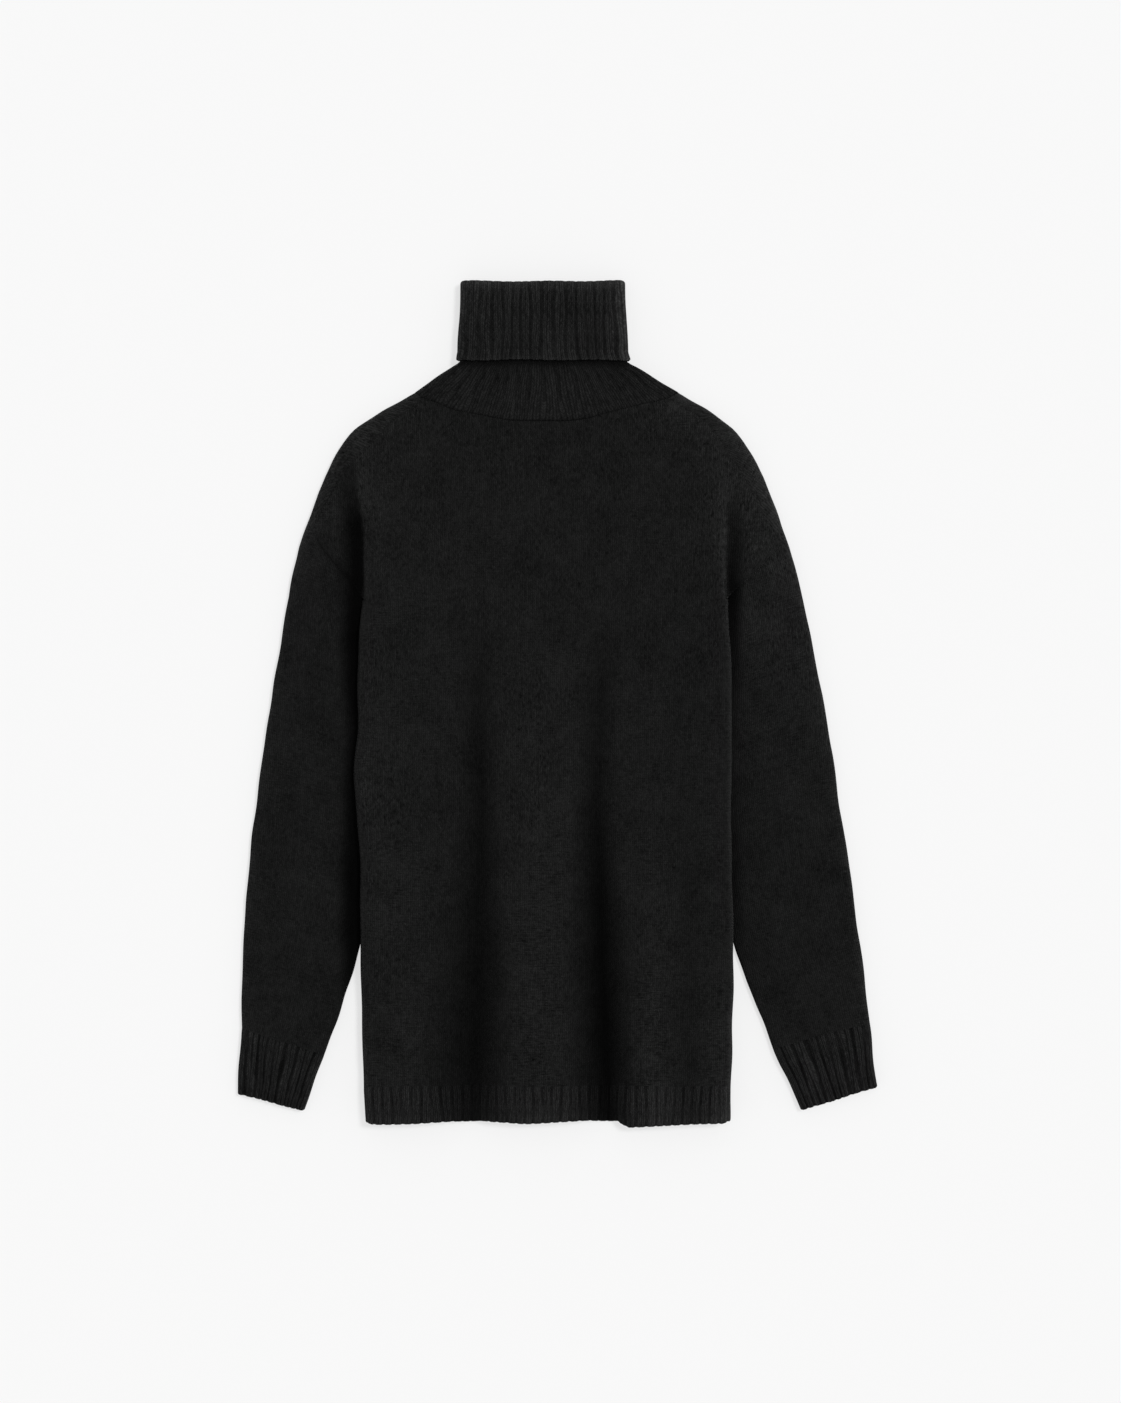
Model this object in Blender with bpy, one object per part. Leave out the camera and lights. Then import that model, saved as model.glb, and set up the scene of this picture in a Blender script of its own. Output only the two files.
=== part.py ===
"""A knitted turtleneck sweater, laid flat on its back with both arms down.

Units are metres. While it is drawn, X runs across the sweater from the middle line of its
body, Y runs up from the lowest point of its hem to the collar, and Z is the height above
the surface it lies on. At the end everything moves, so that the origin is the middle of
its footprint. Left and right are the wearer's: the left sleeve lies on the +X side.
"""
import math
from collections import namedtuple

import bpy
import numpy as np
from mathutils import kdtree

# ---------------------------------------------------------------- driving dimensions
KNIT_WALL = 0.0023          # plain knit
RIB_WALL = 0.0028           # ribbed bands, between the ribs
RIB_RELIEF = 0.0008         # how far a rib stands out of its band
SEAM_GAP = 0.0003           # between two pieces along a seam

HEM_RIB_TOP = 0.043         # where the hem band meets the body
UNDERARM = 0.5375           # where the side seam ends and the sleeve begins
COLLAR_TOP = 0.8619         # the fold of the collar
COLLAR_EDGE = 0.7823        # free edge of the turned-down part
COLLAR_SHIFT = -0.0036      # the collar sits a little to the wearer's right

EDGE_HEIGHT = 0.0076        # a folded edge of body or sleeve
EDGE_ROLL = 0.0045          # how far that edge takes to round off
SLEEVE_CREST = 0.0084       # sleeve, in the middle of its width
TUCKED_HEIGHT = 0.0058      # sleeve where it lies under the body's side
CUFF_HEIGHT = 0.0076
SIDE_ROLL = 0.008           # rounding of the front down to the side seam
BACK_ROLL = 0.0045          # rounding of the back up to the side seam
STRIP_AT_ARMHOLE = 0.0085   # width of the back's strip over the shoulder, at the armhole
BACK_HEM_EDGE = 0.0045
EDGE_BLEND = 0.045          # how far in from the outline the height is that of its own place
ARM_BLEND = 0.050           # how far the chest takes to level off towards the arm
SLEEVE_FREE_BELOW = 0.08    # the sleeve's inner edge is clear of the body
SLEEVE_TUCKED_ABOVE = 0.16  # and here it is pressed flat under the body's side

# The rows of a panel follow its side seams next to them, and its shoulders and neck in the
# middle. These are shares of its width.
SIDE_BAND = 0.02
SIDE_BLEND = 0.28
# Above the underarm the rounded side gives way to the open chest, and the lifted back comes
# down. These are shares of the armhole.
ROLL_FADES = 0.4
BACK_SETTLES = 0.3

SIDES = {"right": -1.0, "left": 1.0}
NECK_COLUMN = {"right": -1, "left": 0}     # of the back's strip over that shoulder

# Half width of the body from its middle line, and the height of its side seam. The back
# is lifted there where it lies on the sleeve.
SideRow = namedtuple("SideRow", "y right left back_lift seam_height")
BODY_SIDES = (
    SideRow(0.0000, 0.1835, 0.1870, 0.0000, 0.0050),    # hem
    SideRow(0.0430, 0.1856, 0.1880, 0.0000, 0.0050),    # top of the hem band
    SideRow(0.1200, 0.1870, 0.1890, 0.0000, 0.0050),
    SideRow(0.1860, 0.1888, 0.1915, 0.0062, 0.0105),    # the sleeves part from the body
    SideRow(0.3300, 0.1892, 0.1900, 0.0062, 0.0105),
    SideRow(0.5050, 0.1912, 0.1886, 0.0062, 0.0105),
    SideRow(UNDERARM, 0.1915, 0.1885, 0.0000, 0.0029),
    SideRow(0.6700, 0.1950, 0.1860, 0.0000, 0.0029),    # the crease ends on the shoulder
)
LIFT_FULL = 0.024           # how far in from the side the back stays lifted
LIFT_END = 0.060            # where it is down on the surface again

# How high the front stands over the surface, before its folds.
CrestRow = namedtuple("CrestRow", "y height")
CRESTS = (
    CrestRow(0.000, 0.0180),
    CrestRow(0.200, 0.0190),
    CrestRow(0.450, 0.0180),
    CrestRow(0.540, 0.0165),
    CrestRow(0.620, 0.0125),
    CrestRow(0.700, 0.0098),
    CrestRow(0.760, 0.0092),
)

# Long soft folds of the front: where the trough lies at the hem, halfway and at its end,
# how far its two flanks reach, how deep it is, and between which heights it fades out.
Fold = namedtuple("Fold", "x_hem x_half x_end flank_right flank_left depth y_full y_end")
FOLDS = (
    Fold(-0.0770, -0.0700, -0.0710, 0.052, 0.026, 0.0112, 0.06, 0.530),
    Fold(0.0600, 0.0480, 0.0570, 0.046, 0.028, 0.0126, 0.10, 0.550),
)

# The crease between the body's side and the upper sleeve.
CREASE_BODY_FLANK = 0.012
CREASE_FLOOR = 0.003
CREASE_ARM_FLANK = 0.035
CREASE_DEEP_BELOW = 0.575
CREASE_ENDS = 0.675

# Outline of the shoulder and the forward shoulder seam, from the armhole to the neck.
ShoulderRow = namedtuple("ShoulderRow", "edge_x edge_y seam_x seam_y")
SHOULDERS = {
    "right": (
        ShoulderRow(0.2428, 0.6160, None, None),
        ShoulderRow(0.2305, 0.6497, 0.2203, 0.6426),
        ShoulderRow(0.2050, 0.7007, 0.1938, 0.6803),
        ShoulderRow(0.1714, 0.7283, 0.1612, 0.7140),
        ShoulderRow(0.1346, 0.7497, 0.1275, 0.7446),
    ),
    "left": (
        ShoulderRow(0.2428, 0.5998, None, None),
        ShoulderRow(0.2264, 0.6467, 0.2132, 0.6365),
        ShoulderRow(0.1989, 0.7007, 0.1826, 0.6905),
        ShoulderRow(0.1663, 0.7293, 0.1561, 0.7222),
        ShoulderRow(0.1357, 0.7487, 0.1244, 0.7426),
    ),
}

# The sleeves, from the armhole to the seam of the cuff and then the cuff's free edge.
Station = namedtuple("Station", "outer_x outer_y inner_x inner_y")
SLEEVES = {
    "right": (
        Station(0.2428, 0.6160, 0.1921, 0.5375),
        Station(0.2611, 0.5477, 0.1918, 0.5120),
        Station(0.2713, 0.4865, 0.1836, 0.4559),
        Station(0.2836, 0.4131, 0.1765, 0.3896),
        Station(0.2948, 0.3335, 0.1744, 0.3182),
        Station(0.3019, 0.2723, 0.1795, 0.2519),
        Station(0.3070, 0.2111, 0.1893, 0.1887),
        Station(0.3101, 0.1550, 0.2081, 0.1265),
        Station(0.3111, 0.1010, 0.2285, 0.0734),
    ),
    "left": (
        Station(0.2428, 0.5998, 0.1891, 0.5375),
        Station(0.2530, 0.5579, 0.1893, 0.5120),
        Station(0.2703, 0.4865, 0.1816, 0.4559),
        Station(0.2846, 0.4131, 0.1754, 0.3896),
        Station(0.2968, 0.3335, 0.1744, 0.3182),
        Station(0.3065, 0.2723, 0.1795, 0.2519),
        Station(0.3152, 0.2111, 0.1920, 0.1887),
        Station(0.3228, 0.1550, 0.2122, 0.1295),
        Station(0.3284, 0.1071, 0.2336, 0.0796),
    ),
}
CUFF_EDGES = {
    "right": Station(0.3147, 0.0367, 0.2468, 0.0194),
    "left": Station(0.3381, 0.0439, 0.2611, 0.0194),
}

# Seam of the collar on the front, and how far it dips on the back.
NeckRow = namedtuple("NeckRow", "x y")
FRONT_NECK = (
    NeckRow(-0.1275, 0.7446),
    NeckRow(-0.0877, 0.7303),
    NeckRow(-0.0286, 0.7222),
    NeckRow(0.0260, 0.7222),
    NeckRow(0.0755, 0.7318),
    NeckRow(0.1244, 0.7426),
)
BACK_NECK_DIP = 0.003

# Rings of the collar above its seam, on the face that shows on the neck. The neck stands
# up to its crease, turns over and comes down outside itself.
CollarRing = namedtuple("CollarRing", "y half_width low high")
NECK_RINGS = (
    CollarRing(0.7755, 0.0945, 0.0018, 0.0118),
    CollarRing(0.7785, 0.0890, 0.0026, 0.0124),
    CollarRing(0.7815, 0.0851, 0.0034, 0.0127),
    CollarRing(0.7850, 0.0844, 0.0036, 0.0128),
    CollarRing(0.8220, 0.0822, 0.0036, 0.0128),
)
TURN_RINGS = (
    CollarRing(0.8220, 0.0832, 0.0028, 0.0136),
    CollarRing(0.7900, 0.0840, 0.0028, 0.0136),
    CollarRing(COLLAR_EDGE, 0.0859, 0.0028, 0.0138),
)
CREASE_RADIUS = 0.0004
NECK_TOP_HALF_WIDTH = 0.0812

# Lower edge of the front's hem band.
HemRow = namedtuple("HemRow", "x y")
HEM_EDGE = (
    HemRow(-0.1835, 0.0082),
    HemRow(-0.1780, 0.0041),
    HemRow(-0.1370, 0.0041),
    HemRow(-0.0980, 0.0061),
    HemRow(-0.0630, 0.0061),
    HemRow(-0.0220, 0.0045),
    HemRow(0.0200, 0.0061),
    HemRow(0.0720, 0.0058),
    HemRow(0.0830, 0.0005),
    HemRow(0.1400, 0.0000),
    HemRow(0.1810, 0.0051),
    HemRow(0.1870, 0.0082),
)

RIBS_HEM = 41               # across the front
RIBS_CUFF = 9               # across the upper side
RIBS_COLLAR = 16            # across the front half of the neck

# How finely the pieces are divided.
ROLL_ANGLES = np.radians((0.0, 22.5, 45.0, 67.5, 90.0))
EDGE_ANGLES = np.radians((45.0, 90.0))
BODY_COLUMNS = 43           # across the front
SHOULDER_COLUMNS = 9        # of them along each shoulder
BACK_SKIP = 3               # the back uses every third one below its neck
BODY_ROWS = 17              # from the hem band to the underarm
ARMHOLE_STEPS = 4
SLEEVE_RINGS = 15
HEM_ROWS = 3
CUFF_ROWS = 3
CUFF_UPPER_POINTS = 2 * len(EDGE_ANGLES) + ARMHOLE_STEPS + 3    # of one ring's points
STAND_STEPS = 3             # rings between the collar's seam and its first ring
RIBBED_NECK_RINGS = 3       # the ribs fade under the turned-down part
CREASE_STEPS = 5
OUTLINE_STEPS = 24          # along each sleeve and each shoulder
POINTS_PER_RIB = 2
UNDER_POINTS = 10           # of a ribbed ring, along its flat underside
RIB_FROM_ROLL = 0.002       # least share of the width between a rib and a rounded side

COLLECTION = "turtleneck_sweater"
KNIT_COLOUR = (0.0093, 0.0093, 0.0096, 1.0)
RIB_COLOUR = (0.0105, 0.0105, 0.0108, 1.0)
KNIT_ROUGHNESS = 0.95
SAME_PLACE = 2e-5           # points nearer than this are one point of two pieces
SAME_DIGITS = 7             # and points with these digits the same are one of two grids
TINY = 1e-12


# ---------------------------------------------------------------- small helpers
def smooth(t):
    """0 below 0, 1 above 1, with a soft start and end."""
    t = np.clip(t, 0.0, 1.0)
    return t * t * (3.0 - 2.0 * t)


def mix(a, b, t):
    return a + (b - a) * t


def column(rows, name):
    return np.array([getattr(row, name) for row in rows])


def along(rows, key, name, value):
    """The column called name of a table, read at a value of its key column."""
    return np.interp(value, column(rows, key), column(rows, name))


def curve(points, t):
    """A smooth curve through the points, read at t from 0 to 1."""
    points = np.asarray(points, float)
    tangents = np.gradient(points, axis=0)
    last = len(points) - 1
    place = np.clip(np.asarray(t, float) * last, 0.0, last)
    start = np.minimum(place.astype(int), last - 1)
    f = (place - start)[:, None]
    a, b = points[start], points[start + 1]
    turn_a, turn_b = tangents[start], tangents[start + 1]
    swing = (f - 1.0) * (f - 1.0) * f * turn_a + (f - 1.0) * f * f * turn_b
    return mix(a, b, smooth(f)) + swing


def unit(vectors):
    length = np.linalg.norm(vectors, axis=-1, keepdims=True)
    return vectors / np.maximum(length, TINY)


def with_height(plan, height):
    return np.concatenate([plan, np.asarray(height)[..., None]], axis=-1)


# ---------------------------------------------------------------- plan of the garment
def side_x(side, y):
    """How far the body's side is from the middle line."""
    return along(BODY_SIDES, "y", side, y)


def sleeve_edges(side, t):
    """Plan points of a sleeve's outer and inner edge, t from armhole to cuff seam."""
    found = curve(SLEEVES[side], t)
    found[:, [0, 2]] *= SIDES[side]
    return found[:, :2], found[:, 2:]


def shoulder_edges(side, t):
    """Plan points of the shoulder's outline and of its seam, t from armhole to neck."""
    rows = np.array([row[:2] + row[2:] for row in SHOULDERS[side]], float)
    armhole = SLEEVES[side][0]
    outer = np.array(armhole[:2])
    inward = unit(np.array(armhole[2:]) - outer)
    rows[0, 2:] = outer + inward * STRIP_AT_ARMHOLE
    found = curve(rows, t)
    found[:, [0, 2]] *= SIDES[side]
    return found[:, :2], found[:, 2:]


def outline_points():
    """The outer edge of both sleeves and both shoulders, one line for each side."""
    lines = []
    for side in SIDES:
        sleeve, _ = sleeve_edges(side, np.linspace(1.0, 0.0, OUTLINE_STEPS))
        shoulder, _ = shoulder_edges(side, np.linspace(0.0, 1.0, OUTLINE_STEPS))
        lines.append(np.concatenate([sleeve, shoulder[1:]]))
    return lines


def outline_distance(plan):
    """How far each plan point is from the garment's outer edge."""
    nearest = np.full(plan.shape[:-1], np.inf)
    for line in OUTLINE:
        for a, b in zip(line[:-1], line[1:]):
            run = b - a
            share = np.clip(((plan - a) @ run) / (run @ run), 0.0, 1.0)
            gap = np.linalg.norm(plan - (a + share[..., None] * run), axis=-1)
            nearest = np.minimum(nearest, gap)
    return nearest


# ---------------------------------------------------------------- heights
def fold_depth(x, y):
    """How far the long folds lower the front."""
    depth = np.zeros(np.broadcast(x, y).shape)
    for fold in FOLDS:
        half = mix(fold.y_full, fold.y_end, 0.5)
        trough = np.interp(y, (0.0, half, fold.y_end), (fold.x_hem, fold.x_half, fold.x_end))
        flank = np.where(x < trough, fold.flank_right, fold.flank_left)
        across = np.clip(np.abs(x - trough) / flank, 0.0, 1.0)
        fade = smooth((fold.y_end - y) / (fold.y_end - fold.y_full))
        depth = depth + fold.depth * fade * 0.5 * (1.0 + np.cos(math.pi * across))
    return depth


def body_height(x, y):
    """The front of the body, away from its rounded sides."""
    return along(CRESTS, "y", "height", y) - fold_depth(x, y)


def off_side(x, y):
    """How far a point lies outside the line of the body's side."""
    reach = np.where(x < 0.0, side_x("right", y), side_x("left", y))
    return np.abs(x) - reach


def arm_height(low, out):
    """The sleeve, from its crease or inner edge at height low up to its crest."""
    return mix(low, SLEEVE_CREST, smooth((out - CREASE_FLOOR) / CREASE_ARM_FLANK))


def near_edge(height, plan):
    """Lets the height come down to that of a folded edge at the outline."""
    return mix(EDGE_HEIGHT, height, smooth(outline_distance(plan) / EDGE_BLEND))


def chest_height(plan):
    """The garment above the underarms: chest, shoulders and the crease beside the arm."""
    x, y = plan[..., 0], plan[..., 1]
    out = off_side(x, y)
    body = body_height(x, y)
    open_part = mix(body, SLEEVE_CREST, smooth((out + CREASE_BODY_FLANK) / ARM_BLEND))
    bank = smooth((CREASE_FLOOR - out) / (CREASE_FLOOR + CREASE_BODY_FLANK))
    creased = mix(arm_height(TUCKED_HEIGHT, out), body, bank)
    deep = 1.0 - smooth((y - CREASE_DEEP_BELOW) / (CREASE_ENDS - CREASE_DEEP_BELOW))
    return near_edge(mix(open_part, creased, deep), plan)


def back_height(x, y):
    """The underside of the back, lifted only where it lies on a sleeve."""
    inside = -off_side(x, y)
    lift = along(BODY_SIDES, "y", "back_lift", y)
    return lift * (1.0 - smooth((inside - LIFT_FULL) / (LIFT_END - LIFT_FULL)))


# ---------------------------------------------------------------- sleeves and cuffs
def roll(edge, inward, height, reach, angles):
    """Points round a folded edge: angles run from -90 degrees below to +90 above."""
    plan = edge + inward * (reach * (1.0 - np.cos(angles)))[:, None]
    return with_height(plan, 0.5 * height * (1.0 + np.sin(angles)))


def sleeve_ring(outer, inner, inner_edge_height, height_at):
    """One ring: inner edge, over the top to the outer edge, and back underneath."""
    inward = unit(inner - outer)
    width = np.linalg.norm(inner - outer)
    reach = 0.5 * inner_edge_height
    middle = np.zeros(1)
    inner_up = roll(inner, -inward, inner_edge_height, reach, np.append(middle, EDGE_ANGLES))
    inner_down = roll(inner, -inward, inner_edge_height, reach, -EDGE_ANGLES[::-1])
    outer_angles = np.concatenate([EDGE_ANGLES[::-1], middle, -EDGE_ANGLES])
    outer_edge = roll(outer, inward, EDGE_HEIGHT, EDGE_ROLL, outer_angles)
    top_at = np.linspace(reach, width - STRIP_AT_ARMHOLE, ARMHOLE_STEPS + 2)[1:]
    top_plan = inner - inward * top_at[:, None]
    top = with_height(top_plan, height_at(top_plan))
    under_at = np.linspace(width - EDGE_ROLL, reach, ARMHOLE_STEPS + 2)[1:-1]
    under_plan = inner - inward * under_at[:, None]
    under = with_height(under_plan, np.zeros(len(under_plan)))
    return np.concatenate([inner_up, top, outer_edge, under, inner_down])


def inner_height(y):
    """Height of a sleeve's inner edge: it rises once it is clear of the body."""
    tucked = (y - SLEEVE_FREE_BELOW) / (SLEEVE_TUCKED_ABOVE - SLEEVE_FREE_BELOW)
    return mix(EDGE_HEIGHT, TUCKED_HEIGHT, smooth(tucked))


def sleeve_height(plan):
    """The upper side of a sleeve, lowest along the body or along its own inner edge."""
    side = "left" if plan[0, 0] > 0.0 else "right"
    y = plan[:, 1]
    inner_x = along(SLEEVES[side][::-1], "inner_y", "inner_x", y)
    out = np.abs(plan[:, 0]) - np.maximum(side_x(side, y), inner_x)
    return near_edge(arm_height(inner_height(y), out), plan)


def cuff_height(plan):
    return np.full(len(plan), CUFF_HEIGHT)


def armhole_ring(side):
    outer, inner = sleeve_edges(side, np.zeros(1))
    return sleeve_ring(outer[0], inner[0], TUCKED_HEIGHT, chest_height)


def sleeve_grid(side):
    outers, inners = sleeve_edges(side, np.linspace(0.0, 1.0, SLEEVE_RINGS))
    rings = [armhole_ring(side)]
    for outer, inner in zip(outers[1:], inners[1:]):
        rings.append(sleeve_ring(outer, inner, inner_height(inner[1]), sleeve_height))
    return np.array(rings)


def cuff_grid(side, seam):
    """The cuff goes on from the sleeve's last ring, its seam, to its free edge."""
    edge = np.array(CUFF_EDGES[side])
    edge[[0, 2]] *= SIDES[side]
    end = sleeve_ring(edge[:2], edge[2:], CUFF_HEIGHT, cuff_height)
    return np.array([mix(seam, end, share) for share in np.linspace(0.0, 1.0, CUFF_ROWS)])


# ---------------------------------------------------------------- body
def column_shares(roll_reach):
    """Where the body's columns stand, from 0 at one side to 1 at the other."""
    width = float(side_x("right", HEM_RIB_TOP) + side_x("left", HEM_RIB_TOP))
    rounded = roll_reach * (1.0 - np.cos(ROLL_ANGLES)) / width
    inner = np.linspace(rounded[-1], 1.0 - rounded[-1], BODY_COLUMNS - 2 * len(rounded) + 2)
    return np.concatenate([rounded, inner[1:-1], 1.0 - rounded[::-1]])


def roll_rise():
    """How far up its rounded side each column stands, from 0 at the seam to 1 on top."""
    rise = np.ones(BODY_COLUMNS)
    rise[:len(ROLL_ANGLES)] = np.sin(ROLL_ANGLES)
    rise[-len(ROLL_ANGLES):] = np.sin(ROLL_ANGLES)[::-1]
    return rise


def armhole_path(side, under):
    """The part of the armhole ring that a body panel is sewn to, from the underarm up."""
    ring = armhole_ring(side)
    steps = len(EDGE_ANGLES) + ARMHOLE_STEPS + 1
    if under:
        return ring[::-1][:steps]
    return ring[1:1 + steps]


def top_line(under):
    """Upper boundary of a panel: shoulder, neck and shoulder, a point for each column."""
    shares = np.linspace(0.0, 1.0, SHOULDER_COLUMNS + 1)
    ends = {}
    for side in SIDES:
        edge, seam = shoulder_edges(side, shares)
        ends[side] = edge + unit(seam - edge) * EDGE_ROLL if under else seam
    count = BODY_COLUMNS - 2 * SHOULDER_COLUMNS
    if under:
        t = np.linspace(0.0, 1.0, count)
        neck = mix(ends["right"][-1], ends["left"][-1], t[:, None])
        neck[:, 1] -= BACK_NECK_DIP * 4.0 * t * (1.0 - t)
    else:
        neck = curve(FRONT_NECK, np.linspace(0.0, 1.0, count))
        neck[0], neck[-1] = ends["right"][-1], ends["left"][-1]
    return np.concatenate([ends["right"][:-1], neck, ends["left"][::-1][1:]])


def side_path(side, under):
    """Plan and height of a panel's side boundary, from the hem band to the shoulder."""
    y = np.linspace(HEM_RIB_TOP, UNDERARM, BODY_ROWS + 1)
    x = SIDES[side] * side_x(side, y)
    seam = np.stack([x, y, along(BODY_SIDES, "y", "seam_height", y)], axis=-1)
    return np.concatenate([seam, armhole_path(side, under)])


def body_grid(under, roll_reach):
    """Front or back panel: its side seams, armholes, shoulder seams and neck are its edge."""
    shares = column_shares(roll_reach)
    rise = roll_rise()
    right, left = side_path("right", under), side_path("left", under)
    top = top_line(under)
    bend = top - mix(top[0], top[-1], shares[:, None])
    from_side = smooth((np.minimum(shares, 1.0 - shares) - SIDE_BAND) / SIDE_BLEND)
    rows = []
    for row in range(len(right)):
        above = max(0, row - BODY_ROWS) / (len(right) - 1 - BODY_ROWS)
        ends = mix(right[row], left[row], shares[:, None])
        end_climb = (np.array([right[row, 1], left[row, 1]]) - HEM_RIB_TOP) / (
            top[[0, -1], 1] - HEM_RIB_TOP)
        climb = mix(above, mix(end_climb[0], end_climb[1], shares), from_side)
        plan = ends[:, :2] + np.stack([above * bend[:, 0], climb * bend[:, 1]], axis=-1)
        x, y = plan[:, 0], plan[:, 1]
        seam = np.where(shares < 0.5, right[row, 2], left[row, 2])
        body = back_height(x, y) if under else body_height(x, y)
        rounded = mix(seam, body, rise)
        if under:
            level = body * (1.0 - smooth(above / BACK_SETTLES))
        else:
            level = chest_height(plan)
        level_share = np.where(y < UNDERARM, 0.0, smooth(above / ROLL_FADES))
        points = with_height(plan, mix(rounded, level, level_share))
        points[0], points[-1] = right[row], left[row]
        rows.append(points)
    return np.array(rows)


def shoulder_flap(side):
    """The back's strip over one shoulder, from its flat underside up to the seam."""
    edges, seams = shoulder_edges(side, np.linspace(0.0, 1.0, SHOULDER_COLUMNS + 1))
    angles = np.concatenate([-EDGE_ANGLES[::-1], np.zeros(1), EDGE_ANGLES])
    columns = []
    for edge, seam in zip(edges, seams):
        rounded = roll(edge, unit(seam - edge), EDGE_HEIGHT, EDGE_ROLL, angles)
        top = with_height(seam[None], chest_height(seam[None]))
        columns.append(np.concatenate([rounded, top]))
    flap = np.stack(columns, axis=1)
    return flap if side == "right" else flap[:, ::-1]


def back_columns():
    """The columns of the front that the back uses too."""
    first, last = SHOULDER_COLUMNS, BODY_COLUMNS - 1 - SHOULDER_COLUMNS
    middle = list(range(first, last, BACK_SKIP))
    return list(range(first)) + middle + list(range(last, BODY_COLUMNS))


def hem_grid(under, roll_reach):
    """The ribbed band below the body, from its seam down to its free edge."""
    shares = column_shares(roll_reach)
    rise = roll_rise()
    rows = []
    for part in np.linspace(0.0, 1.0, HEM_ROWS):
        x = mix(-side_x("right", HEM_RIB_TOP), side_x("left", HEM_RIB_TOP), shares)
        edge = mix(HEM_EDGE[0].y, BACK_HEM_EDGE, rise) if under else along(HEM_EDGE, "x", "y", x)
        y = mix(HEM_RIB_TOP, edge, part)
        x = mix(-side_x("right", y), side_x("left", y), shares)
        seam = along(BODY_SIDES, "y", "seam_height", y)
        flat = back_height(x, y) if under else body_height(x, y)
        rows.append(np.stack([x, y, mix(seam, flat, rise)], axis=-1))
    return np.array(rows[::-1])


# ---------------------------------------------------------------- collar
def oval_half(half_width, half_height, share, upper):
    """A flattened ring's upper or lower half, share from its right end to its left one."""
    quarter = 0.5 * math.pi * half_height
    flat = 2.0 * (half_width - half_height)
    place = np.asarray(share) * (2.0 * quarter + flat)
    first = np.clip(place / quarter, 0.0, 1.0) * 0.5 * math.pi
    last = np.clip((place - quarter - flat) / quarter, 0.0, 1.0) * 0.5 * math.pi
    middle = np.clip(place - quarter, 0.0, flat)
    x = -half_width + half_height * (1.0 - np.cos(first)) + middle + half_height * np.sin(last)
    z = half_height * (np.sin(first) - 1.0 + np.cos(last))
    return x, z if upper else -z


def neck_seam_halves(front, back, flaps):
    """The collar's seam as two lines from the right shoulder to the left one."""
    front_neck = front[-1, SHOULDER_COLUMNS:-SHOULDER_COLUMNS]
    back_neck = back[-1, SHOULDER_COLUMNS:-SHOULDER_COLUMNS]
    right, left = flaps["right"][:, -1], flaps["left"][:, 0]
    middle = len(EDGE_ANGLES)
    upper = np.concatenate([right[middle:-1], front_neck, left[middle:-1][::-1]])
    lower = np.concatenate([right[1:middle + 1][::-1], back_neck, left[1:middle + 1]])
    return upper, lower


def line_shares(points):
    steps = np.linalg.norm(np.diff(points, axis=0), axis=1)
    return np.concatenate([[0.0], np.cumsum(steps)]) / steps.sum()


def collar_rings():
    """Every ring above the seam, from the neck over its crease to the free edge."""
    low, high = NECK_RINGS[-1].low, NECK_RINGS[-1].high
    crease_y = COLLAR_TOP - RIB_WALL - CREASE_RADIUS
    rings = list(NECK_RINGS)
    for angle in np.linspace(0.0, math.pi, CREASE_STEPS):
        out = CREASE_RADIUS * (1.0 - math.cos(angle))
        y = crease_y + CREASE_RADIUS * math.sin(angle)
        rings.append(CollarRing(y, NECK_TOP_HALF_WIDTH + out, low - out, high + out))
    return rings + list(TURN_RINGS)


def ring_half(ring, shares, upper):
    x, z = oval_half(ring.half_width, 0.5 * (ring.high - ring.low), shares, upper)
    y = np.full(len(x), ring.y)
    return np.stack([x + COLLAR_SHIFT, y, z + 0.5 * (ring.high + ring.low)], axis=-1)


def collar_grid(upper, lower):
    """The collar as one long tube from its seam's two halves, turned over at its top."""
    rings = []
    for ring in collar_rings():
        high = ring_half(ring, line_shares(upper), True)
        low = ring_half(ring, line_shares(lower), False)
        rings.append((high, low))
    first_high, first_low = rings[0]
    stand = []
    for part in np.linspace(0.0, 1.0, STAND_STEPS + 1)[:-1]:
        stand.append((mix(upper, first_high, part), mix(lower, first_low, part)))
    return np.array([np.concatenate([high, low[::-1][1:-1]]) for high, low in stand + rings])


# ---------------------------------------------------------------- walls
Patch = namedtuple("Patch", "points closed flip")


def grid_normals(patch):
    """Outward normals of a grid of points."""
    points = patch.points
    if patch.closed:
        across = np.roll(points, -1, axis=1) - np.roll(points, 1, axis=1)
    else:
        across = np.gradient(points, axis=1)
    normals = unit(np.cross(across, np.gradient(points, axis=0)))
    return -normals if patch.flip else normals


def cut_normals(points, closed, cut):
    """Outward normals of a seam's points that stay in the upright plane of its cut."""
    if closed:
        run = np.roll(points, -1, axis=0) - np.roll(points, 1, axis=0)
    else:
        run = np.gradient(points, axis=0)
    normals = unit(np.cross(run, cut))
    middle = 0.5 * (points.min(axis=0) + points.max(axis=0))
    outward = np.sum(normals * (points - middle), axis=1).sum()
    return normals if outward > 0.0 else -normals


def folded_seams(sleeves, flaps):
    """The seams that cut a folded edge: armholes, cuffs and the neck's two ends. Each has
    its points, whether it is a ring, and the two points that its upright cut runs through."""
    lines = []
    middle = len(EDGE_ANGLES)
    for side in SIDES:
        for ring in (sleeves[side][0], sleeves[side][-1]):
            lines.append((ring, True, ring[0], ring[len(ring) // 2]))
        end = flaps[side][:, NECK_COLUMN[side]]
        lines.append((end, False, end[middle], end[-1]))
    return lines


def seam_normals(sleeves, flaps):
    points, normals = [], []
    for line, closed, start, end in folded_seams(sleeves, flaps):
        run = end - start
        cut = np.array([run[1], -run[0], 0.0])
        points.append(line)
        normals.append(cut_normals(line, closed, cut))
    return np.concatenate(points), np.concatenate(normals)


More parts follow.
